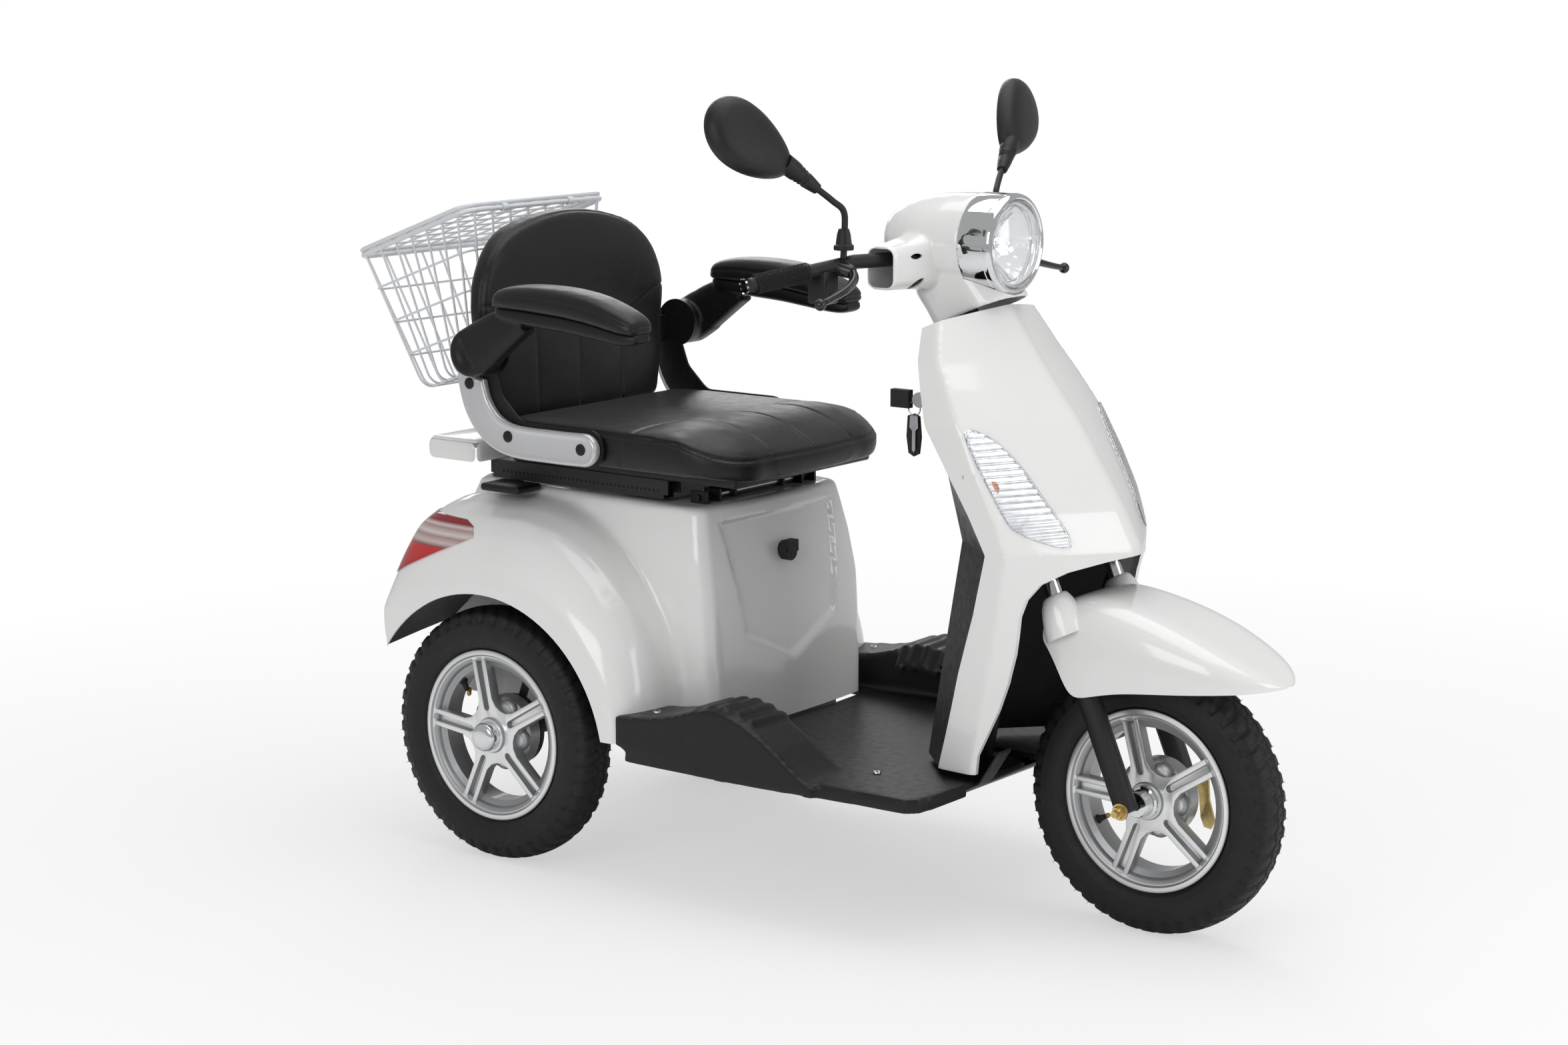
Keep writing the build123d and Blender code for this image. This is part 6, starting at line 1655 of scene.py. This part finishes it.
def back_seams(co, normal, width):
    """1 on the backrest's seams, fading to 0 a width away."""
    y, up = co.y * 1000, co.z * 1000 - 732
    deep = -74 - in_mm(co)[0] - math.tan(BACK_LEAN) * up
    seam = 0.0
    if normal.x > 0.35:
        seam = away_from(up, yoke_line(y), width)
        if up < yoke_line(y):
            seam = max(seam, *[away_from(y, channel, width) for channel in (-108, 0, 108)])
    rim = 1 - 0.28 * soft_step(130, 233, abs(y))
    if 8 * rim < deep < 30 * rim:
        seam = max(seam, away_from(deep, 15 * rim, width))
    if deep > 44 * rim:
        seam = max(seam, away_from(deep, 52 * rim, width))
    return seam


backrest = solid_from("leather_backrest", back_form)


def back_held(co, normal):
    if normal.x < -0.6:
        return 1.0
    return max(0.15, back_seams(co, normal, 7))


blow_up(backrest, back_held, 4.5, 0.012, 0.0064)
draw_in(backrest, 0.0020, back_seams, 4.2)
repaint(backrest, leather)
hand_over(backrest, "seat", "backrest")

yoke = [(y, yoke_line(y)) for y in range(-216, 217, 6)]
sew("backrest_stitches", backrest, [[on_back(y, up + lift, 0) for y, up in yoke] for lift in (5.5, -5.5)])

# Armrests: thick black mouldings that rise from a round boss on the seat's side arm, with padded
# tops that curve down to the front. They fold up round the boss.

ARM_STATIONS = [
    # x, underside, top of the arm, top of the pad, half width of the arm, half width of the pad
    (-2, 905, 912, 930, 18, 26), (8, 896, 913, 943, 24, 33), (40, 890, 913, 951, 26, 36),
    (90, 886, 911, 954, 26, 37),
    (150, 882, 907, 952, 26, 37), (205, 876, 900, 944, 26, 36), (250, 871, 892, 930, 26, 35),
    (278, 871, 888, 918, 24, 31),
    (292, 876, 887, 908, 18, 24),
]
for side, word in ((-1, "right"), (1, "left")):
    middle = side * 282
    pad = bmesh.new()
    under = bmesh.new()
    pad_rings, arm_rings = [], []
    for x, low, seat, top, arm_w, pad_w in smooth_line(ARM_STATIONS, 4):
        pad_ring, arm_ring = [], []
        for a in round_angles(28):
            c, s = math.cos(a), math.sin(a)
            across = math.copysign(abs(c) ** 0.55, c)
            rise = math.copysign(abs(s) ** (0.8 if s > 0 else 0.35), s)
            centre = seat + (top - seat) * 0.45
            height = (top - centre) if s > 0 else (centre - seat)
            pad_ring.append(at(x, middle + pad_w * across, centre + rise * height))
            lift = math.copysign(abs(s) ** 0.55, s)
            arm_ring.append(at(x, middle + arm_w * across,
                               (low + seat + 3) / 2 + lift * (seat + 3 - low) / 2))
        pad_rings.append(pad_ring)
        arm_rings.append(arm_ring)
    skin_rings(pad, pad_rings, caps=True)
    bmesh.ops.recalc_face_normals(pad, faces=pad.faces)
    cover = add_piece("armrest_cover_" + word, pad)

    def pad_held(co, normal):
        return 1.0 if normal.z < -0.5 else 0.25

    blow_up(cover, pad_held, 3.0, 0.003, 0.0048)
    tops = smooth_line(ARM_STATIONS, 6)

    def pad_seam(co, normal, width):
        x, _, z = in_mm(co)
        station = min(tops, key=lambda row: abs(row[0] - x))
        seam_z = station[2] + (station[3] - station[2]) * 0.52
        return away_from(z, seam_z, width) if abs(normal.z) < 0.85 else 0.0

    draw_in(cover, 0.0013, pad_seam, 3.2)
    repaint(cover, leather)
    hand_over(cover, "armrest_" + word, "armrest_pad_" + word)
    skin_rings(under, arm_rings, caps=True)
    root = smooth_line([(-66, 834, 33), (-40, 849, 32), (-12, 867, 30), (18, 884, 26), (48, 896, 19)], 4)
    root_rings = []
    for x, z, half in root:
        tilt = math.radians(50 if x < -30 else 44)
        root_rings.append([
            at(x + half * math.sin(a) * math.cos(tilt + math.pi / 2),
               middle + side * 1 + 21 * math.copysign(abs(math.cos(a)) ** 0.5, math.cos(a)),
               z + half * math.copysign(abs(math.sin(a)) ** 0.7, math.sin(a)))
            for a in round_angles(28)])
    skin_rings(under, root_rings, caps=True)
    boss = drum(-65, 834, ((247, 38), (249, 39), (295, 39), (299, 38), (301, 35.5), (301, 26), (299.6, 23),
                           (297, 19), (295.6, 13), (295.2, 0.5)), 64, side)
    skin_rings(under, boss, caps=True)
    bmesh.ops.recalc_face_normals(under, faces=under.faces)
    arm = add_piece("armrest_arm_" + word, under)
    melt(arm, 0.0022, 6)
    crease_shade(repaint(arm, satin_black), 60)
    hand_over(arm, "armrest_" + word, "armrest_" + word)

# Seat frame: a pressed steel pan on two channel rails with open ends and toothed slides. Two
# tongues hold the tilt rod in front, and a flat paddle at the right rear lets the seat turn.
rails = bmesh.new()
for side in (-1, 1):
    for outline, rear, front in (
        ([(-13, 609), (13, 609), (13, 631), (10.6, 631), (10.6, 611.4), (-10.6, 611.4), (-10.6, 631),
          (-13, 631)], -122, 246),
        ([(-17, 641), (-17, 617), (-14.4, 617), (-14.4, 638.4), (14.4, 638.4), (14.4, 617), (17, 617),
          (17, 641)], -108, 258)):
        prism(rails, [(side * 165 + y, z) for y, z in outline], rear, front, axis="X")
    prism(rails, [(284, 604), (304, 604), (310, 644), (250, 644)], *sorted((side * 62, side * 67)))
prism(rails, [(250, 640), (250, 646), (316, 646), (316, 640)], -150, 150)
finish_piece(rails, "seat_rails", powder_coat, "seat")
teeth = [(at(-96 + 9 * n, side * 182, 622), Vector((0, side, 0))) for n in range(38) for side in (-1, 1)]
set_studs("rail_teeth", teeth, powder_coat, "seat", 2.6, 1.8, 1.6, sides=4)
pan = solid_from("seat_pan", box_form(-74, 396, -184, 184, 641, 658))
soften_edges(repaint(pan, powder_coat), 0.005, 3)
hand_over(crease_shade(pan), "seat", "seat_frame")
paddle = solid_from("turn_paddle", box_form(-92, -8, -246, -184, 598, 611))
soften_edges(repaint(paddle, satin_black), 0.0055, 4)
hand_over(crease_shade(paddle), "seat")

# Side arms of the seat: curved black carriers up to the backrest, and satin silver cover plates
# over them with a raised rim and black plugs over the screws.
dress("arm_carriers", satin_black)
silver_paint = new_finish("silver_paint", (0.66, 0.665, 0.68), 0.30, metal=0.45, coat=0.3, mottle=0.02,
                          patch=12)
COVER_LINE = [(-97, 800), (-94, 776), (-84, 745), (-66, 719), (-42, 701), (-12, 691), (24, 688), (70, 688),
              (110, 688),
              (146, 689)]
PLUGS = [(-97, 778), (-14, 697), (142, 690)]
for side, word in ((-1, "right"), (1, "left")):
    line = smooth_line(COVER_LINE, 5)
    outline = []
    for i, (x, z) in enumerate(line):
        before, after = line[max(0, i - 1)], line[min(len(line) - 1, i + 1)]
        dx, dz = after[0] - before[0], after[1] - before[1]
        length = math.hypot(dx, dz)
        outline.append((x, z, -dz / length, dx / length))
    end_x, end_z, nx, nz = outline[-1]
    rings = []
    for out, half in ((246, 25), (252, 27), (257, 27), (260.5, 25.5), (262.0, 23), (261.8, 20.5),
                      (260.6, 18.5),
                      (260.3, 15)):
        upper = [(x + nx * half, z + nz * half) for x, z, nx, nz in outline]
        lower = [(x - nx * half, z - nz * half) for x, z, nx, nz in outline]
        end = [(end_x + half * math.sin(a), end_z + half * math.cos(a)) for a in
               (math.pi * k / 14 for k in range(1, 14))]
        ring = []
        for x, z in upper + end + lower[::-1]:
            reach = math.hypot(x + 65, z - 834)
            push = max(1.0, (48 + (27 - half) * 0.6) / reach)
            ring.append(at(-65 + (x + 65) * push, side * out, 834 + (z - 834) * push))
        rings.append(ring)
    build = bmesh.new()
    rows = skin_rings(build, rings)
    count = len(outline)
    for row, flip in ((rows[0], True), (rows[-1], False)):
        for i in range(count - 1):
            quad = [row[i], row[i + 1], row[-2 - i], row[-1 - i]]
            build.faces.new(quad[::-1] if flip else quad)
        build.faces.new(row[count - 1:-count + 1] if not flip else row[count - 1:-count + 1][::-1])
    finish_piece(build, "silver_cover_" + word, silver_paint, "seat",
                 "arm_covers" if side < 0 else None, angle=50)
    build = bmesh.new()
    for x, z in PLUGS:
        skin_rings(build, drum(x, z, ((255, 9.5), (261.5, 9.5), (262.6, 8.6), (263.1, 6.5), (263.2, 0.4)), 28,
                               side), caps=True)
    finish_piece(build, "cover_plugs_" + word, satin_black, "seat", angle=40)

# Basket: white coated steel wire, welded, with a hinged lid and a slotted black bracket behind.
dress("basket_bracket", powder_coat)
wire_white = new_finish("wire_white", (0.76, 0.78, 0.81), 0.22, coat=0.5, mottle=0.03, patch=50)
RIM_REAR, RIM_FRONT = (-425.0, 960.0), (-174.0, 1052.0)
FLOOR_REAR, FLOOR_FRONT = (-314.0, 738.0), (-182.0, 786.0)
RIM_HALF_WIDTH, FLOOR_HALF_WIDTH = 180.0, 150.0
HOOPS, SIDE_WIRES, CROSS_WIRES = 4, 7, 8


def wire_nodes():
    """Geometry Nodes that bend and thicken lines into round wire."""
    tree, give = group_tree("wires", "Lines", Float=("Wire Radius", "Bend Radius"))
    line = add_node(tree, "GeometryNodeMeshToCurve", give["Lines"])
    bend = add_node(tree, "GeometryNodeFilletCurve", Curve=line.outputs[0], Radius=give["Bend Radius"],
                    Count=6, mode="POLY")
    section = add_node(tree, "GeometryNodeCurvePrimitiveCircle", Resolution=10, Radius=give["Wire Radius"])
    thick = add_node(tree, "GeometryNodeCurveToMesh", Curve=bend.outputs[0],
                     Profile_Curve=section.outputs[0], Fill_Caps=True)
    return end_tree(tree, give, thick.outputs[0])


WIRES = wire_nodes()


def bend_wires(name, lines, radius, corner, body, node=None):
    """Round wires along lines of points, of which closed ones are marked so."""
    verts, edges = [], []
    for points, closed in lines:
        first = len(verts)
        verts += points
        edges += [(i, i + 1) for i in range(first, len(verts) - 1)]
        if closed:
            edges.append((len(verts) - 1, first))
    piece = run_nodes(wire_frame(name, verts, edges), WIRES, {
        "Wire Radius": radius / 1000, "Bend Radius": corner / 1000, "Finish": wire_white})
    piece.data.polygons.foreach_set("use_smooth", [True] * len(piece.data.polygons))
    hand_over(crease_shade(piece, 50), body, node)


def basket_point(down, forward, across, lift=0.0):
    """Point on the basket: 0 to 1 down from the rim, forward from the rear, -1 to 1 across."""
    x0 = RIM_REAR[0] + (RIM_FRONT[0] - RIM_REAR[0]) * forward
    z0 = RIM_REAR[1] + (RIM_FRONT[1] - RIM_REAR[1]) * forward
    x1 = FLOOR_REAR[0] + (FLOOR_FRONT[0] - FLOOR_REAR[0]) * forward
    z1 = FLOOR_REAR[1] + (FLOOR_FRONT[1] - FLOOR_REAR[1]) * forward
    half_w = RIM_HALF_WIDTH + (FLOOR_HALF_WIDTH - RIM_HALF_WIDTH) * down
    run, climb = RIM_FRONT[0] - RIM_REAR[0], RIM_FRONT[1] - RIM_REAR[1]
    tilt = math.hypot(run, climb)
    return at(x0 + (x1 - x0) * down - climb / tilt * lift, across * half_w,
              z0 + (z1 - z0) * down + run / tilt * lift)


CORNERS = ((0, -1), (1, -1), (1, 1), (0, 1))
mesh_lines = []
for n in range(1, HOOPS):
    mesh_lines.append(([basket_point(n / HOOPS, f, a) for f, a in CORNERS], True))
for n in range(SIDE_WIRES):
    forward = (n + 0.5) / SIDE_WIRES
    mesh_lines.append(([basket_point(d, forward, a) for d, a in CORNERS], False))
for n in range(CROSS_WIRES):
    across = -1 + 2 * (n + 0.5) / CROSS_WIRES
    mesh_lines.append(([basket_point(d, f, across) for d, f in ((0, 0), (1, 0), (1, 1), (0, 1))], False))
bend_wires("basket_wires", mesh_lines, 2.0, 24, "seat", "basket")
bend_wires("basket_rim", [([basket_point(0, f, a) for f, a in CORNERS], True)], 4.5, 26, "seat")
rise = 8.8
lid_lines = [([basket_point(0, n / SIDE_WIRES, a, rise) for a in (-0.985, 0.985)], False)
             for n in range(1, SIDE_WIRES)]
lid_lines += [([basket_point(0, f, -1 + 2 * n / CROSS_WIRES, rise) for f in (0.015, 0.985)], False)
              for n in range(1, CROSS_WIRES)]
bend_wires("lid_wires", lid_lines, 2.0, 1, "basket_lid", "basket_lid")
bend_wires("lid_rim", [([basket_point(0, f, a, rise) for f, a in CORNERS], True)], 4.0, 26, "basket_lid")
loops = bmesh.new()
for y in (-84, 84):
    rings = []
    for a in round_angles(28):
        rings.append([at(RIM_FRONT[0] + r * math.cos(a), y + w, RIM_FRONT[1] + r * math.sin(a))
                      for r, w in ((4.8, -6), (7.3, -6), (7.3, 6), (4.8, 6))])
    skin_rings(loops, rings, closed_along=True)
finish_piece(loops, "lid_loops", wire_white, "basket_lid")
